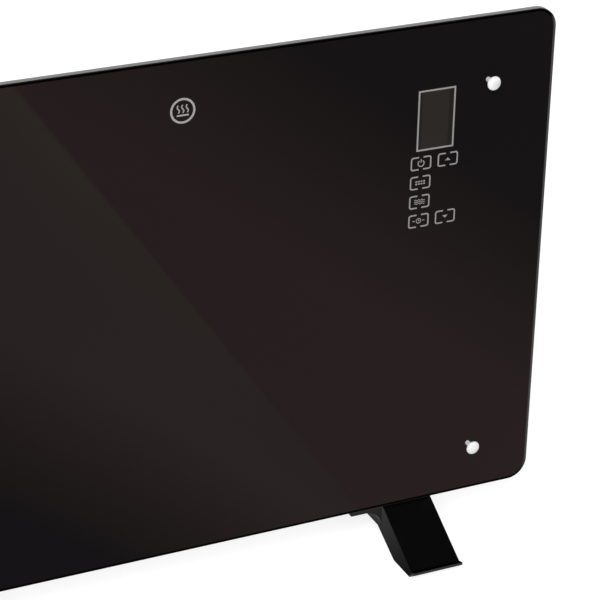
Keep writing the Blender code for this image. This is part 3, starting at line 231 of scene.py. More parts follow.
# Node trees: the Mix node's sockets for colours, the middle of a noise, and the grain's bump
MIX_A, MIX_B, MIX_RESULT = 6, 7, 2
NOISE_MIDDLE = (0.3, 0.7)
BUMP_STRENGTH = 0.6

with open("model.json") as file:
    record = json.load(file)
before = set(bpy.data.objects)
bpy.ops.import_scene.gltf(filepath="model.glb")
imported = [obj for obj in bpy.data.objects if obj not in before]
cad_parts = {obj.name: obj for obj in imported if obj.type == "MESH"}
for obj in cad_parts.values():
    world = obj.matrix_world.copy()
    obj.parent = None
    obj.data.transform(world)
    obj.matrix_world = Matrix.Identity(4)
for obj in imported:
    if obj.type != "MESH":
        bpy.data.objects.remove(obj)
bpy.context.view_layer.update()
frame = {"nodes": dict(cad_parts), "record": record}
nodes = frame["nodes"]

glass_low, glass_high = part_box("front_glass")
glass_front = glass_low.y
glass_back = glass_high.y
ink_front = glass_front - INK_STAND
ink_back = glass_front + INK_SUNK


# Node materials

def blank(name):
    """A material, its node tree and its shader."""
    made = bpy.data.materials.new(name)
    made.use_nodes = True
    return made, made.node_tree, made.node_tree.nodes["Principled BSDF"]


def add(tree, kind, values=None, **settings):
    """A node with its settings and its unlinked inputs."""
    node = tree.nodes.new(kind)
    for key, value in settings.items():
        setattr(node, key, value)
    for key, value in (values or {}).items():
        node.inputs[key].default_value = value
    return node


def maths(tree, operation, a, b=None):
    """A Math node: a and b are numbers or outputs."""
    node = add(tree, "ShaderNodeMath", operation=operation)
    for socket, value in zip(node.inputs, (a, b)):
        if value is None:
            continue
        if isinstance(value, (int, float)):
            socket.default_value = value
        else:
            tree.links.new(value, socket)
    return node.outputs[0]


def ramp(tree, source, low, high, to_low, to_high, smooth=False):
    """Map Range from low..high to to_low..to_high."""
    values = {"From Min": low, "From Max": high, "To Min": to_low, "To Max": to_high}
    kind = "SMOOTHSTEP" if smooth else "LINEAR"
    node = add(tree, "ShaderNodeMapRange", values, interpolation_type=kind)
    tree.links.new(source, node.inputs["Value"])
    return node.outputs[0]


def mixed(tree, factor, a, b):
    """Colour mix: a and b are colours or outputs."""
    node = add(tree, "ShaderNodeMix", data_type="RGBA")
    tree.links.new(factor, node.inputs["Factor"])
    for key, value in ((MIX_A, a), (MIX_B, b)):
        if isinstance(value, tuple):
            node.inputs[key].default_value = (*value, 1.0)
        else:
            tree.links.new(value, node.inputs[key])
    return node.outputs[MIX_RESULT]


def blended(tree, factor, a, b):
    """Mix of two shaders."""
    node = add(tree, "ShaderNodeMixShader")
    for socket, value in zip(node.inputs, (factor, a, b)):
        tree.links.new(value, socket)
    return node.outputs[0]


def object_place(tree):
    """Position in the object's own metres."""
    return add(tree, "ShaderNodeTexCoord").outputs["Object"]


def split(tree, vector):
    """The X, Y and Z outputs of a vector."""
    node = add(tree, "ShaderNodeSeparateXYZ")
    tree.links.new(vector, node.inputs[0])
    return node.outputs


def noise(tree, scale, detail=3.0, stretch=None):
    """Noise in the object's own metres, stretched along an axis if asked."""
    place = object_place(tree)
    if stretch:
        mapping = add(tree, "ShaderNodeMapping", {"Scale": stretch})
        tree.links.new(place, mapping.inputs["Vector"])
        place = mapping.outputs[0]
    node = add(tree, "ShaderNodeTexNoise", {"Scale": scale, "Detail": detail})
    tree.links.new(place, node.inputs["Vector"])
    return node.outputs["Fac"]


def spread(tree, source, values):
    """Map the middle of a noise to a pair of values."""
    return ramp(tree, source, *NOISE_MIDDLE, *values)


def bump(tree, shader, height, distance):
    """Bump from a height output."""
    values = {"Strength": BUMP_STRENGTH, "Distance": distance}
    node = add(tree, "ShaderNodeBump", values)
    tree.links.new(height, node.inputs["Height"])
    tree.links.new(node.outputs[0], shader.inputs["Normal"])


def finish(
        name, dark, light, rough, grain, depth,
        metallic=0.0, specular=0.5, patch=60.0, stretch=None):
    """A surface whose colour and roughness drift between two values over fine grain."""
    made, tree, shader = blank(name)
    drift = noise(tree, patch)
    fine = noise(tree, grain, 2.0, stretch)
    both = maths(tree, "MULTIPLY", maths(tree, "ADD", drift, fine), 0.5)
    tree.links.new(mixed(tree, both, dark, light), shader.inputs["Base Color"])
    tree.links.new(spread(tree, both, rough), shader.inputs["Roughness"])
    shader.inputs["Metallic"].default_value = metallic
    shader.inputs["Specular IOR Level"].default_value = specular
    bump(tree, shader, fine, depth)
    return made


def glass_material():
    """Dark glass: a polished face over black print, ground edges and a satin printed back."""
    made, tree, shader = blank("dark_glass")
    across = split(tree, add(tree, "ShaderNodeTexCoord").outputs["Normal"])["Y"]
    back = maths(tree, "GREATER_THAN", across, POLISHED)
    steep = maths(tree, "ABSOLUTE", across)
    edge = maths(tree, "LESS_THAN", steep, POLISHED)
    arris = maths(tree, "MULTIPLY", edge, maths(tree, "GREATER_THAN", steep, RIM_FACING))
    drift = noise(tree, 9.0, 2.0)
    ground = noise(tree, 900.0, 3.0)
    face = mixed(tree, drift, (0.0030, 0.0024, 0.0027), (0.0036, 0.0029, 0.0032))
    rim = mixed(tree, ground, (0.15, 0.15, 0.15), (0.21, 0.21, 0.21))
    color = mixed(tree, edge, face, rim)
    color = mixed(tree, arris, color, (0.012, 0.012, 0.012))
    color = mixed(tree, back, color, (0.010, 0.010, 0.010))
    tree.links.new(color, shader.inputs["Base Color"])
    rough = spread(tree, drift, GLASS_ROUGH)
    rough = maths(tree, "ADD", rough, maths(tree, "MULTIPLY", edge, EDGE_ROUGHER))
    rough = maths(tree, "ADD", rough, maths(tree, "MULTIPLY", back, BACK_ROUGHER))
    tree.links.new(rough, shader.inputs["Roughness"])
    shader.inputs["Specular IOR Level"].default_value = GLASS_SPECULAR
    shader.inputs["Specular Tint"].default_value = GLASS_TINT
    return made


def margin_material():
    """Clear margin outside the print: dark, and lighter at the two ends as painted light, where
    light comes in.
    """
    made, tree, shader = blank("clear_margin")
    from_middle = maths(tree, "ABSOLUTE", split(tree, object_place(tree))["X"])
    # Painted light: the margin's colour grows lighter towards both ends of the glass
    lit = ramp(tree, from_middle, MARGIN_FROM, MARGIN_FULL, 0.0, 1.0)
    mottle = noise(tree, 300.0, 2.0)
    dark = mixed(tree, mottle, (0.0004, 0.0003, 0.0003), (0.0010, 0.0008, 0.0008))
    light = mixed(tree, mottle, (0.040, 0.040, 0.041), (0.052, 0.052, 0.053))
    tree.links.new(mixed(tree, lit, dark, light), shader.inputs["Base Color"])
    tree.links.new(spread(tree, mottle, (0.40, 0.55)), shader.inputs["Roughness"])
    shader.inputs["Specular IOR Level"].default_value = 0.0
    return made


def ink_material(name, color):
    """Screen print: a flat ink with a faint mottle."""
    return finish(
        name, tuple(INK_SHADE * c for c in color), color, rough=(0.45, 0.60),
        grain=4000.0, depth=0.00001, specular=0.2, patch=500.0)


def window_material():
    """Display window: a grey film between two darker margins, the right one wider."""
    made, tree, shader = blank("display_film")
    x = split(tree, object_place(tree))["X"]
    left, right = DISPLAY_X[0] + FILM_LEFT, DISPLAY_X[1] - FILM_RIGHT
    before = ramp(tree, x, left, left + FILM_FADE, 1.0, 0.0, smooth=True)
    after = ramp(tree, x, right - FILM_FADE, right, 0.0, 1.0, smooth=True)
    film = mixed(tree, noise(tree, 120.0), *FILM_COLORS)
    margin = mixed(tree, noise(tree, 260.0), *FILM_EDGE_COLORS)
    both = maths(tree, "MAXIMUM", before, after)
    tree.links.new(mixed(tree, both, film, margin), shader.inputs["Base Color"])
    tree.links.new(spread(tree, noise(tree, 30.0), (0.05, 0.09)), shader.inputs["Roughness"])
    shader.inputs["Specular IOR Level"].default_value = GLASS_SPECULAR
    shader.inputs["Specular Tint"].default_value = GLASS_TINT
    return made


def make_finishes():
    """The finish of each slot in the record."""
    return {
        "front_glass": glass_material(),
        "studs": finish(
            "polished_studs", (0.74, 0.73, 0.74), (0.80, 0.79, 0.80), rough=(0.26, 0.38),
            grain=2500.0, depth=0.000004, metallic=0.35),
        "silicone": finish(
            "silicone", (0.040, 0.040, 0.041), (0.058, 0.057, 0.057), rough=(0.60, 0.75),
            grain=1800.0, depth=0.00003, specular=0.35),
        "case_paint": finish(
            "powder_coat", (0.015, 0.015, 0.016), (0.021, 0.021, 0.022), rough=(0.36, 0.50),
            grain=1300.0, depth=0.00006, specular=0.40),
        "bright_steel": finish(
            "zinc_plate", (0.52, 0.52, 0.53), (0.70, 0.70, 0.71), rough=(0.26, 0.42),
            grain=1200.0, depth=0.00001, metallic=1.0),
        "aluminium": finish(
            "mill_aluminium", (0.66, 0.67, 0.68), (0.80, 0.81, 0.82), rough=(0.28, 0.44),
            grain=900.0, depth=0.00002, metallic=1.0, stretch=(0.03, 1.0, 1.0)),
        "ceramic": finish(
            "steatite", (0.80, 0.77, 0.70), (0.90, 0.87, 0.80), rough=(0.38, 0.55),
            grain=1500.0, depth=0.00003),
        "black_moulding": finish(
            "moulded_black", *BLACK_MOULDED, rough=(0.26, 0.36),
            grain=BLACK_GRAIN, depth=BLACK_DEPTH, specular=0.58),
        "white_moulding": finish(
            "moulded_white", (0.72, 0.71, 0.67), (0.80, 0.79, 0.75), rough=(0.36, 0.50),
            grain=1800.0, depth=0.00002),
        "circuit_board": finish(
            "solder_mask", (0.014, 0.120, 0.050), (0.026, 0.190, 0.085), rough=(0.28, 0.44),
            grain=700.0, depth=0.00003),
        "display": window_material(),
        "relay_case": finish(
            "relay_blue", (0.040, 0.100, 0.280), (0.058, 0.135, 0.350), rough=(0.32, 0.46),
            grain=1800.0, depth=0.00001),
    }


# Solids

def skin(bm, rings):
    """Join rings of vertices one after the other; a ring of one vertex is a pole."""
    for low, high in zip(rings, rings[1:]):
        count = max(len(low), len(high))
        for i in range(count):
            j = (i + 1) % count
            corners = [low[i % len(low)], low[j % len(low)]]
            corners += [high[j % len(high)], high[i % len(high)]]
            bm.faces.new(list(dict.fromkeys(corners)))
    for ring in (rings[0], rings[-1]):
        if len(ring) > 2:
            bm.faces.new(ring)


def turned(bm, profile, centre, direction, steps=TURN_STEPS):
    """A turned solid: profile lists (distance along direction, radius) from end to end."""
    turn = Vector(direction).to_track_quat("Z", "Y").to_matrix().to_4x4()
    turn.translation = centre
    rings = []
    for far, radius in profile:
        if radius < POLE:
            rings.append([bm.verts.new(turn @ Vector((0.0, 0.0, far)))])
            continue
        rings.append([
            bm.verts.new(turn @ Vector((u, v, far)))
            for u, v in circle(0.0, 0.0, radius, steps=steps)
        ])
    skin(bm, rings)


def circle(x, z, radius, start=0.0, end=2 * math.pi, steps=40, whole=True):
    """Points on an arc; a whole circle leaves out the repeated last point."""
    count = steps if whole else steps + 1
    angles = [start + (end - start) * k / steps for k in range(count)]
    return [(x + radius * math.cos(a), z + radius * math.sin(a)) for a in angles]


def oblong(x0, z0, x1, z1):
    """Corners of a rectangle in the x z plane."""
    return [(x0, z0), (x1, z0), (x1, z1), (x0, z1)]


def rounded(x0, z0, x1, z1, radius, steps):
    """Outline of a rounded rectangle in the x z plane."""
    points = []
    corners = ((x1, z1, 0), (x0, z1, 1), (x0, z0, 2), (x1, z0, 3))
    for cx, cz, quarter in corners:
        mx = cx - math.copysign(radius, cx - (x0 + x1) / 2)
        mz = cz - math.copysign(radius, cz - (z0 + z1) / 2)
        start = math.pi / 2 * quarter
        points += circle(mx, mz, radius, start, start + math.pi / 2, steps, whole=False)
    return points


def plate(bm, outline, front, back):
    """A flat solid from an outline in the x z plane."""
    ends = [[bm.verts.new((x, y, z)) for x, z in outline] for y in (front, back)]
    skin(bm, ends)


def stroke(bm, points, width, front, back, closed=False):
    """A flat line of that width along points in the x z plane, with mitred bends."""
    path = [Vector(p) for p in points]
    count = len(path)
    inner, outer = [], []
    for i, point in enumerate(path):
        before = path[i - 1] if closed or i else None
        after = path[(i + 1) % count] if closed or i < count - 1 else None
        ways = [(point - before).normalized()] if before else []
        ways += [(after - point).normalized()] if after else []
        along = sum(ways, Vector((0.0, 0.0))).normalized()
        side = Vector((-along.y, along.x))
        first = Vector((-ways[0].y, ways[0].x))
        reach = width / 2 / max(MITRE_LEAST, side.dot(first))
        inner.append(point - side * reach)
        outer.append(point + side * reach)
    rings = [
        [bm.verts.new((a.x, y, a.y)) for a, y in ((p, front), (q, front), (q, back), (p, back))]
        for p, q in zip(inner, outer)
    ]
    if closed:
        for i in range(count):
            low, high = rings[i], rings[(i + 1) % count]
            for k in range(4):
                m = (k + 1) % 4
                bm.faces.new((low[k], low[m], high[m], high[k]))
    else:
        skin(bm, rings)


def put(name, data):
    """A new object in the scene."""
    made = bpy.data.objects.new(name, data)
    bpy.context.scene.collection.objects.link(made)
    return made


def mesh_of(name, bm):
    """A mesh from a finished solid, which is freed."""
    mesh = bpy.data.meshes.new(name)
    bm.to_mesh(mesh)
    bm.free()
    return mesh


def shade(mesh):
    """Smooth shading with sharp edges kept."""
    mesh.shade_smooth()
    mesh.set_sharp_from_angle(angle=SHARP)


def piece(name, bm, material, body="heater", replaced=(), smooth=True):
    """A finished piece of the object from its solid."""
    bmesh.ops.recalc_face_normals(bm, faces=bm.faces)
    made = put(name, mesh_of(name, bm))
    made.data.materials.append(material)
    if smooth:
        shade(made.data)
    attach(made, body)
    if replaced:
        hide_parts(*replaced)
    return made


def cut(target, fill_cutter):
    """Cut a solid, filled in by fill_cutter(bm), out of a piece."""
    bm = bmesh.new()
    fill_cutter(bm)
    bmesh.ops.recalc_face_normals(bm, faces=bm.faces)
    cutter = put("cutter", mesh_of("cutter", bm))
    boolean = target.modifiers.new("cut", "BOOLEAN")
    boolean.object = cutter
    boolean.operation = "DIFFERENCE"
    bpy.context.view_layer.update()
    solved = target.evaluated_get(bpy.context.evaluated_depsgraph_get())
    result = bpy.data.meshes.new_from_object(solved)
    target.modifiers.clear()
    old, tool = target.data, cutter.data
    target.data = result
    shade(result)
    bpy.data.objects.remove(cutter)
    for mesh in (old, tool):
        bpy.data.meshes.remove(mesh)


def node_copy(name):
    """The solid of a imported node, with its doubled vertices joined."""
    bm = bmesh.new()
    bm.from_mesh(nodes[name].data)
    bmesh.ops.remove_doubles(bm, verts=bm.verts, dist=WELD)
    return bm


# Glass and studs

def stud_axis(word):
    """A point on the axis of a stud, at y = 0."""
    low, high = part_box("stud_" + word)
    return (low.x + high.x) / 2, 0.0, (low.z + high.z) / 2


def make_glass(finishes):
    """Toughened glass with rounded corners, polished arrises and four stud holes."""
    x, low, high = glass_high.x, glass_low.z, glass_high.z
    sections = (
        (glass_front, GLASS_ARRIS + GLASS_MARGIN),
        (glass_front, GLASS_ARRIS),
        (glass_front + GLASS_ARRIS, 0.0),
        (glass_back - GLASS_ARRIS, 0.0),
        (glass_back, GLASS_ARRIS),
    )
    bm = bmesh.new()
    rings = []
    for y, inset in sections:
        outline = rounded(
            -x + inset, low + inset, x - inset, high - inset, GLASS_CORNER - inset, CORNER_STEPS)
        rings.append([bm.verts.new((px, y, pz)) for px, pz in outline])
    skin(bm, rings)
    margin = set(rings[0] + rings[1])
    for face in bm.faces:
        if len(face.verts) == 4 and margin.issuperset(face.verts):
            face.material_index = 1
    made = piece(
        "glass_sheet", bm, finishes["front_glass"], replaced=["front_glass"])
    made.data.materials.append(margin_material())

    def holes(bm):
        ends = ((glass_front - HOLE_PAST, HOLE_RADIUS), (glass_back + HOLE_PAST, HOLE_RADIUS))
        for word in STUD_PLACES:
            turned(bm, ends, stud_axis(word), (0, 1, 0), HOLE_STEPS)

    cut(made, holes)


def stud_profile(face, end):
    """A stud along its axis: domed face, rolled rim, cone, neck and shank."""
    head_back = face + STUD_HEAD_DEPTH
    rim = face + STUD_DOME + STUD_RIM / 2
    seat = glass_front - STUD_SEAT_GAP
    profile = []
    for k in range(DOME_STEPS + 1):
        radius = (STUD_HEAD_RADIUS - STUD_RIM) * k / DOME_STEPS
        profile.append((face + STUD_DOME * (radius / STUD_HEAD_RADIUS) ** 2, radius))
    for k in range(RIM_STEPS + 1):
        angle = math.pi * k / RIM_STEPS
        y = rim + (head_back - rim) / 2 * (1 - math.cos(angle))
        profile.append((y, STUD_HEAD_RADIUS - STUD_RIM + STUD_RIM * math.sin(angle)))
    for k in range(CONE_STEPS + 1):
        down = math.sin(math.pi / 2 * k / CONE_STEPS)
        radius = STUD_NECK_RADIUS + STUD_CONE_FLARE * (1 - down)
        profile.append((head_back + STUD_CONE_DEPTH * down, radius))
    profile += [(seat, STUD_NECK_RADIUS), (seat, STUD_SHANK_RADIUS)]
    profile += [(end - STUD_CHAMFER, STUD_SHANK_RADIUS)]
    profile += [(end, STUD_SHANK_RADIUS - STUD_CHAMFER), (end, 0.0)]
    return profile


def make_studs(finishes):
    """Mushroom-headed studs."""
    for word in STUD_PLACES:
        low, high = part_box("stud_" + word)
        bm = bmesh.new()
        turned(bm, stud_profile(low.y, high.y), stud_axis(word), (0, 1, 0))
        made = piece(
            "turned_stud_" + word, bm, finishes["studs"], replaced=["stud_" + word])
        made.visible_glossy = False


# Prints

def ink_line(bm, points, width, closed=False):
    """A printed line on the glass."""
    stroke(bm, points, width, ink_front, ink_back, closed)


def ink_patch(bm, outline):
    """A printed patch on the glass."""
    plate(bm, outline, ink_front, ink_back)


def key_frame(bm, span, z):
    """Two bracket-like halves round a touch area; gives the x of its middle."""
    x0, x1 = span
    middle = (x0 + x1) / 2
    gap = KEY_GAP_SHARE * (x1 - x0) / 2
    inset = KEY_LINE / 2
    half = KEY_HEIGHT / 2 - inset
    x, high, low = x0 + inset + KEY_CORNER, z + half - KEY_CORNER, z - half + KEY_CORNER
    side = [(middle - gap, z + half)]
    for centre, quarter in ((high, 1), (low, 2)):
        start = math.pi / 2 * quarter
        side += circle(
            x, centre, KEY_CORNER, start, start + math.pi / 2, KEY_CORNER_STEPS, whole=False)
    side += [(middle - gap, z - half)]
    ink_line(bm, side, KEY_LINE)
    ink_line(bm, [(2 * middle - px, pz) for px, pz in side], KEY_LINE)
    return middle


def power_icon(bm, x, z):
    """An open ring with a stem."""
    ring = circle(x, z, POWER_RADIUS, *POWER_ARC, POWER_STEPS, whole=False)
    ink_line(bm, ring, ICON_BOLD)
    ink_line(bm, [(x, z + end) for end in POWER_STEM], ICON_BOLD)


def grid_icon(bm, x, z):
    """A grid of hours."""
    wide, high = GRID_HALF
    for i in range(GRID_COLUMNS):
        for j in range(GRID_ROWS):
            cx = x + (i - (GRID_COLUMNS - 1) / 2) * GRID_PITCH[0]
            cz = z + (j - (GRID_ROWS - 1) / 2) * GRID_PITCH[1]
            ink_patch(bm, rounded(cx - wide, cz - high, cx + wide, cz + high, GRID_CORNER, 2))


def waves_icon(bm, x, z):
    """Three warm waves, one over the other."""
    for j in (-1, 0, 1):
        wave = []
        for k in range(WAVES_STEPS + 1):
            share = k / WAVES_STEPS
            rise = WAVES_RISE * math.sin(2 * math.pi * WAVES_CRESTS * share)
            wave.append((x + (share - 0.5) * WAVES_LENGTH, z + j * WAVES_PITCH + rise))
        ink_line(bm, wave, ICON_FINE)


def clock_icon(bm, x, z):
    """A small clock between two dashes."""
    ink_line(bm, circle(x, z, CLOCK_RADIUS, steps=CLOCK_STEPS), ICON_LINE, closed=True)
    hour, minute = CLOCK_HANDS
    ink_line(bm, [(x, z + minute), (x, z), (x + hour, z)], ICON_FINE)
    for side in (-1, 1):
        ink_line(bm, [(x + side * end, z) for end in CLOCK_TICK], ICON_LINE)


def make_key_marks(ink):
    """Frames round the touch areas, each with a generic symbol."""
    bm = bmesh.new()
    for row, draw in enumerate((power_icon, grid_icon, waves_icon, clock_icon)):
        z = KEY_TOP_Z - row * KEY_PITCH
        draw(bm, key_frame(bm, KEY_LEFT_X, z), z)
    for row, up in ((0, 1), (KEY_ROWS - 1, -1)):
        z = KEY_TOP_Z - row * KEY_PITCH
        x = key_frame(bm, KEY_RIGHT_X, z)
        base = z - up * ARROW_BASE
        ink_patch(bm, [(x - ARROW_HALF, base), (x + ARROW_HALF, base), (x, z + up * ARROW_TIP)])
    piece("key_marks", bm, ink, smooth=False)


def make_display(finishes, ink):
    """Display window and the printed line round it."""
    (x0, x1), (z0, z1) = DISPLAY_X, DISPLAY_Z
    bm = bmesh.new()
    ink_line(bm, oblong(x0, z0, x1, z1), DISPLAY_LINE, closed=True)
    piece("display_line", bm, ink, smooth=False)
    inset = DISPLAY_LINE / 2
    bm = bmesh.new()
    inner = oblong(x0 + inset, z0 + inset, x1 - inset, z1 - inset)
    plate(bm, inner, glass_front - INK_STAND / 2, ink_back)
    piece("display_window", bm, finishes["display"], smooth=False)


def make_sign(ink):
    """Round sign at the top of the glass: three warm waves over a bar, in a ring."""
    x, z = SIGN_PLACE
    bm = bmesh.new()
    ring = circle(x, z, SIGN_RADIUS - SIGN_LINE / 2, steps=SIGN_STEPS)
    ink_line(bm, ring, SIGN_LINE, closed=True)
    for i in (-1, 0, 1):
        wave = []
        for k in range(SIGN_WAVE_STEPS + 1):
            share = k / SIGN_WAVE_STEPS
            sway = SIGN_WAVE_SWAY * math.sin(2 * math.pi * share)
            up = SIGN_WAVE_LOW + SIGN_WAVE_HEIGHT * share
            wave.append((x + i * SIGN_WAVE_PITCH + sway, z + up))
        ink_line(bm, wave, SIGN_WAVE_LINE)
    low, high = SIGN_BAR_Z
    bar = rounded(
        x - SIGN_BAR_HALF, z + low, x + SIGN_BAR_HALF, z + high, SIGN_BAR_CORNER, 3)
    ink_patch(bm, bar)
    piece("warm_sign", bm, ink, smooth=False)


# Case, feet, screws and rocker

def dress_nodes(finishes):
    """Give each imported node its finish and, where it is moulded or bent, soft edges."""
    fine = ("rear_case", "front_plate", "outlet_grille", "inlet_grille", "rocker_body")
    soft = dict.fromkeys(fine, FINE_EDGE)
    soft.update(dict.fromkeys(("rocker_key", "cord_gland"), ROUND_EDGE))
    for part in frame["record"]["subparts"]:
        node = nodes[part["node"]]
        node.data.materials.clear()
        node.data.materials.append(finishes[part["material_slot"]])
        width = soft.get(part["node"])
        if not width:
            continue
        weld = node.modifiers.new("weld", "WELD")
        weld.merge_threshold = WELD
        bevel = node.modifiers.new("edges", "BEVEL")
        bevel.width = width
        bevel.segments = SOFT_STEPS
        bevel.limit_method = "ANGLE"
        bevel.angle_limit = SHARP
        bevel.use_clamp_overlap = True
        bevel.harden_normals = False


def tighten_ear(bm):
    """Draw the round corners of a foot's ear in to a smaller radius."""
    tip = min(abs(v.co.x) for v in bm.verts)
    corner = [v for v in bm.verts if abs(v.co.x) - tip < EAR_ROUND + NEAR]
    end = max(abs(v.co.y) for v in corner)
    share = EAR_TIP_ROUND / EAR_ROUND
    for v in corner:
        in_x, in_y = abs(v.co.x) - tip, end - abs(v.co.y)
        if in_y < EAR_ROUND + NEAR:
            v.co.x = math.copysign(tip + share * in_x, v.co.x)
            v.co.y = math.copysign(end - share * in_y, v.co.y)


def turn_up_lips(bm):
    """Turn the level lips at both ends of a foot up a little, and make them slimmer."""
    reach = max(abs(v.co.y) for v in bm.verts)
    ends = [v for v in bm.verts if abs(v.co.y) > reach - NEAR]
    low, high = min(v.co.z for v in ends), max(v.co.z for v in ends)
    for v in bm.verts:
        if v in ends:
            v.co.z = LIP_TOP if v.co.z > (low + high) / 2 else LIP_LOW
        elif abs(v.co.z - high) < NEAR and abs(v.co.y) > reach - LIP_SPAN:
            v.co.y = math.copysign(abs(v.co.y) + LIP_SHORTER, v.co.y)
            v.co.z -= LIP_DROP


def shade_lip_tops(bm):
    """Give the upper faces of a foot's lips the second material: a rougher copy of the black
    without shine, as painted shade.
    """
    bm.normal_update()
    reach = max(abs(v.co.y) for v in bm.verts)
    for face in bm.faces:
        near_end = all(abs(v.co.y) > reach - LIP_SPAN for v in face.verts)
        face.material_index = int(near_end and face.normal.z > LIP_FACING)


def make_feet(finishes):
    """Moulded feet with rounded edges, a smooth fillet at the ear, and upper faces of the lips in
    a rougher copy of the black without shine, as painted shade.
    """
    # Painted shade: the lips' upper faces take the same black, rougher and without any shine
    rough_shaded_lip = finish(
        "rough_shaded_lip_black", *BLACK_MOULDED, rough=(0.60, 0.75),
        grain=BLACK_GRAIN, depth=BLACK_DEPTH, specular=0.0)
    for word in ("left", "right"):
        bm = node_copy("foot_" + word)
        tighten_ear(bm)
        turn_up_lips(bm)
        bmesh.ops.dissolve_limit(bm, angle_limit=FOOT_FLAT, verts=bm.verts, edges=bm.edges)
        sharp = [e for e in bm.edges if e.is_manifold and e.calc_face_angle() > FOOT_SHARP]
        bmesh.ops.bevel(
            bm, geom=sharp, offset=FOOT_EDGE, offset_type="OFFSET", segments=FOOT_STEPS,
            profile=0.5, affect="EDGES", clamp_overlap=True)
        shade_lip_tops(bm)
        made = piece(
            "moulded_foot_" + word, bm, finishes["black_moulding"],
            replaced=["foot_" + word])
        made.data.materials.append(rough_shaded_lip)
        made.visible_glossy = False
        made.modifiers.new("normals", "WEIGHTED_NORMAL").keep_sharp = True


def cross(radius):
    """Outline of a cross recess in a head of that radius."""
    arm, half = RECESS_ARM * radius, RECESS_WIDTH * radius
    outline = []
    for c, s in ((1, 0), (0, 1), (-1, 0), (0, -1)):
        for u, v in ((arm, half), (half, half), (half, arm)):
            outline.append((c * u - s * v, s * u + c * v))
    return outline


def make_screws(finishes):
    """Screws with a cross recess in the head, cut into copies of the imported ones."""
    head_turns = {
        "plate_screw_": Matrix(((1, 0, 0), (0, 0, 1), (0, -1, 0))),
        "foot_screw_": Matrix(((1, 0, 0), (0, -1, 0), (0, 0, 1))),
    }
    for part in frame["record"]["subparts"]:
        name, slot = part["node"], part["material_slot"]
        start = next((word for word in head_turns if name.startswith(word)), None)
        if not start:
            continue
        low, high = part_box(name)
        turn = head_turns[start].to_4x4()
        deep = turn.col[2].to_3d()
        middle = (low + high) / 2
        turn.translation = middle - deep * deep.dot(middle) + deep * deep.dot(low)
        outline = cross((high.x - low.x) / 2)
        made = piece(
            "recessed_" + name, node_copy(name), finishes[slot], replaced=[name])

        def recess(bm):
            sections = ((-RECESS_ABOVE, 1.0), (0.0, 1.0), (RECESS_DEPTH, RECESS_TAPER))
            skin(bm, [
                [bm.verts.new(turn @ Vector((share * u, share * v, far))) for u, v in outline]
                for far, share in sections
            ])

        cut(made, recess)


def make_rocker_marks(finishes):
    """The two generic marks of a mains switch, laid on the curved face of its key."""
    low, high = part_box("rocker_key")
    tree = BVHTree.FromObject(nodes["rocker_key"], bpy.context.evaluated_depsgraph_get())
    # Until it is laid on the key, a point's y only says which face of the mark it is on
    under, over = -1.0, 1.0
    half = MARK_HEIGHT / 2
    bar = high.z - MARK_FROM_END
    bm = bmesh.new()
    stroke(bm, [(0.0, bar - half), (0.0, bar + half)], MARK_LINE, under, over)
    ring = circle(0.0, low.z + MARK_FROM_END, half, steps=MARK_STEPS)
    stroke(bm, ring, MARK_LINE, under, over, closed=True)
    for vert in bm.verts:
        across, side, up = vert.co
        outside = Vector((high.x + RAY_START, across, up))
        hit, normal, _, _ = tree.ray_cast(outside, Vector((-1, 0, 0)))
        vert.co = hit + normal * (MARK_STAND if side > 0 else -MARK_SINK)
    piece(
        "rocker_marks", bm, finishes["white_moulding"], body="rocker",
        smooth=False)


# Stage

def seen_directly(tree, path):
    """One for rays from the camera, also after something clear, and zero for all others."""
    return maths(tree, "MAXIMUM", path["Is Camera Ray"], path["Is Transmission Ray"])


def dimming(tree, along, span, colors):
    """Gradient of three colours along a span."""
    start, end = span
    middle = (start + end) / 2
    bright, dusk, dark = colors
    first = mixed(tree, ramp(tree, along, start, middle, 0.0, 1.0), bright, dusk)
    return mixed(tree, ramp(tree, along, middle, end, 0.0, 1.0), first, dark)


def mirror_pattern(tree, place):
    """Dark studio in front of the glass: two gradients that meet along a card's edge."""
    x, y = place["X"], place["Y"]
    aside = maths(tree, "SUBTRACT", x, FAN_POINT[0])
    slope = maths(tree, "DIVIDE", aside, maths(tree, "SUBTRACT", FAN_POINT[1], y))
    right = dimming(tree, slope, FAN_RIGHT, GLOW_RIGHT)
    left = dimming(tree, slope, FAN_LEFT, GLOW_LEFT)
    (ax, ay), (bx, by) = CARD_EDGE
    length = math.hypot(bx - ax, by - ay)
    nx, ny = (by - ay) / length, (ax - bx) / length
    off = maths(tree, "ADD", maths(tree, "MULTIPLY", x, nx), maths(tree, "MULTIPLY", y, ny))
    off = maths(tree, "SUBTRACT", off, nx * ax + ny * ay)
    strip = ramp(tree, off, -CARD_STRIP, 0.0, 0.0, 1.0)
    near = ramp(tree, y, STRIP_FROM, STRIP_TO, 0.0, 1.0)
    left = mixed(tree, strip, left, mixed(tree, near, *STRIP_COLORS))
    side = ramp(tree, off, -CARD_FEATHER, CARD_FEATHER, 0.0, 1.0)
    return mixed(tree, side, left, right)


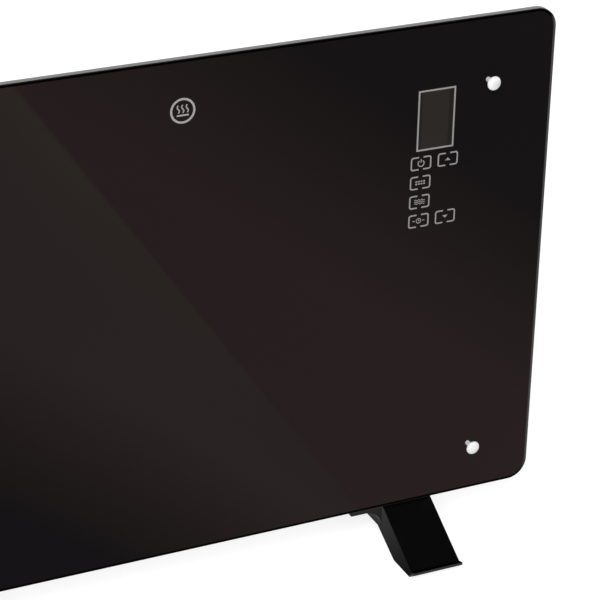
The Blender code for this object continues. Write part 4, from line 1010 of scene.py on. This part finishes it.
def floor_material():
    """Pale floor that keeps the shadow and shows white, and is the dark studio for the glass."""
    material = bpy.data.materials.new("pale_floor")
    material.use_nodes = True
    tree = material.node_tree
    tree.nodes.clear()
    out = add(tree, "ShaderNodeOutputMaterial")
    path = add(tree, "ShaderNodeLightPath").outputs
    place = split(tree, add(tree, "ShaderNodeNewGeometry").outputs["Position"])

    tint = (FLOOR_ALBEDO,) * 3, (FLOOR_ALBEDO * FLOOR_MOTTLE,) * 3
    plain = add(tree, "ShaderNodeBsdfDiffuse")
    tree.links.new(mixed(tree, noise(tree, FLOOR_GRAIN), *tint), plain.inputs["Color"])
    lift = add(tree, "ShaderNodeEmission", {"Strength": FLOOR_LIFT})
    pale = add(tree, "ShaderNodeAddShader")
    tree.links.new(plain.outputs[0], pale.inputs[0])
    tree.links.new(lift.outputs[0], pale.inputs[1])

    bounce = add(tree, "ShaderNodeBsdfDiffuse", {"Color": (FLOOR_BOUNCE,) * 3 + (1.0,)})
    under = add(tree, "ShaderNodeEmission", {"Color": (1.0, 1.0, 1.0, 1.0)})
    shine = ramp(tree, place["Y"], *FLOOR_SHINE_Y, *FLOOR_SHINE)
    tree.links.new(shine, under.inputs["Strength"])
    mirror = add(tree, "ShaderNodeEmission")
    tree.links.new(mirror_pattern(tree, place), mirror.inputs["Color"])

    glossy = path["Is Glossy Ray"]
    ahead = maths(tree, "LESS_THAN", place["Y"], STUDIO_START)
    ahead = maths(tree, "MULTIPLY", ahead, glossy)
    seen = seen_directly(tree, path)
    shown = blended(tree, glossy, bounce.outputs[0], under.outputs[0])
    shown = blended(tree, ahead, shown, mirror.outputs[0])
    shown = blended(tree, seen, shown, pale.outputs[0])
    tree.links.new(shown, out.inputs["Surface"])
    return material


def make_floor():
    """A square floor under the heater."""
    half = FLOOR_SIZE / 2
    bm = bmesh.new()
    bm.faces.new([bm.verts.new((x, y, 0.0)) for x, y in oblong(-half, -half, half, half)])
    floor = put("floor", mesh_of("floor", bm))
    floor.data.materials.append(floor_material())


def make_world():
    """White where it is seen, a plain fill for diffuse rays, and a dark ceiling for the glass."""
    world = bpy.data.worlds.new("studio")
    world.use_nodes = True
    tree = world.node_tree
    path = add(tree, "ShaderNodeLightPath").outputs
    seen = seen_directly(tree, path)
    upward = split(tree, add(tree, "ShaderNodeTexCoord").outputs["Generated"])["Z"]
    ceiling = ramp(tree, upward, CEILING_FROM, CEILING_FULL, 1.0, CEILING_DARK)
    glossy = maths(tree, "MULTIPLY", path["Is Glossy Ray"], ceiling)
    fill = maths(tree, "MULTIPLY", path["Is Diffuse Ray"], WORLD_FILL)
    background = tree.nodes["Background"]
    background.inputs["Color"].default_value = (1.0, 1.0, 1.0, 1.0)
    strength = maths(tree, "ADD", maths(tree, "ADD", seen, glossy), fill)
    tree.links.new(strength, background.inputs["Strength"])
    bpy.context.scene.world = world


def make_lamp():
    """A soft round lamp, high at the front left."""
    lamp = bpy.data.lights.new("key", "AREA")
    lamp.shape = "DISK"
    lamp.size = LAMP_SIZE
    lamp.energy = LAMP_POWER
    key = put("key", lamp)
    key.location = LAMP_PLACE
    key.rotation_euler = (LAMP_AIM - LAMP_PLACE).to_track_quat("-Z", "Y").to_euler()
    key.visible_glossy = False


def make_camera():
    """The photograph's camera."""
    lens = bpy.data.cameras.new("camera")
    lens.sensor_fit = "HORIZONTAL"
    lens.sensor_width = SENSOR
    lens.lens = CAMERA_LENS
    lens.clip_start = CAMERA_NEAR
    camera = put("camera", lens)
    camera.location = CAMERA_PLACE
    camera.rotation_euler = [math.radians(a) for a in CAMERA_TURN]
    bpy.context.scene.camera = camera
    bpy.context.scene.view_settings.view_transform = "Standard"


finishes = make_finishes()
grey_ink = ink_material("grey_print", INK_GREY)
pale_ink = ink_material("pale_print", INK_PALE)
make_floor()
make_world()
make_lamp()
make_camera()
dress_nodes(finishes)
make_glass(finishes)
make_studs(finishes)
make_feet(finishes)
make_screws(finishes)
make_rocker_marks(finishes)
make_key_marks(grey_ink)
make_display(finishes, grey_ink)
make_sign(pale_ink)
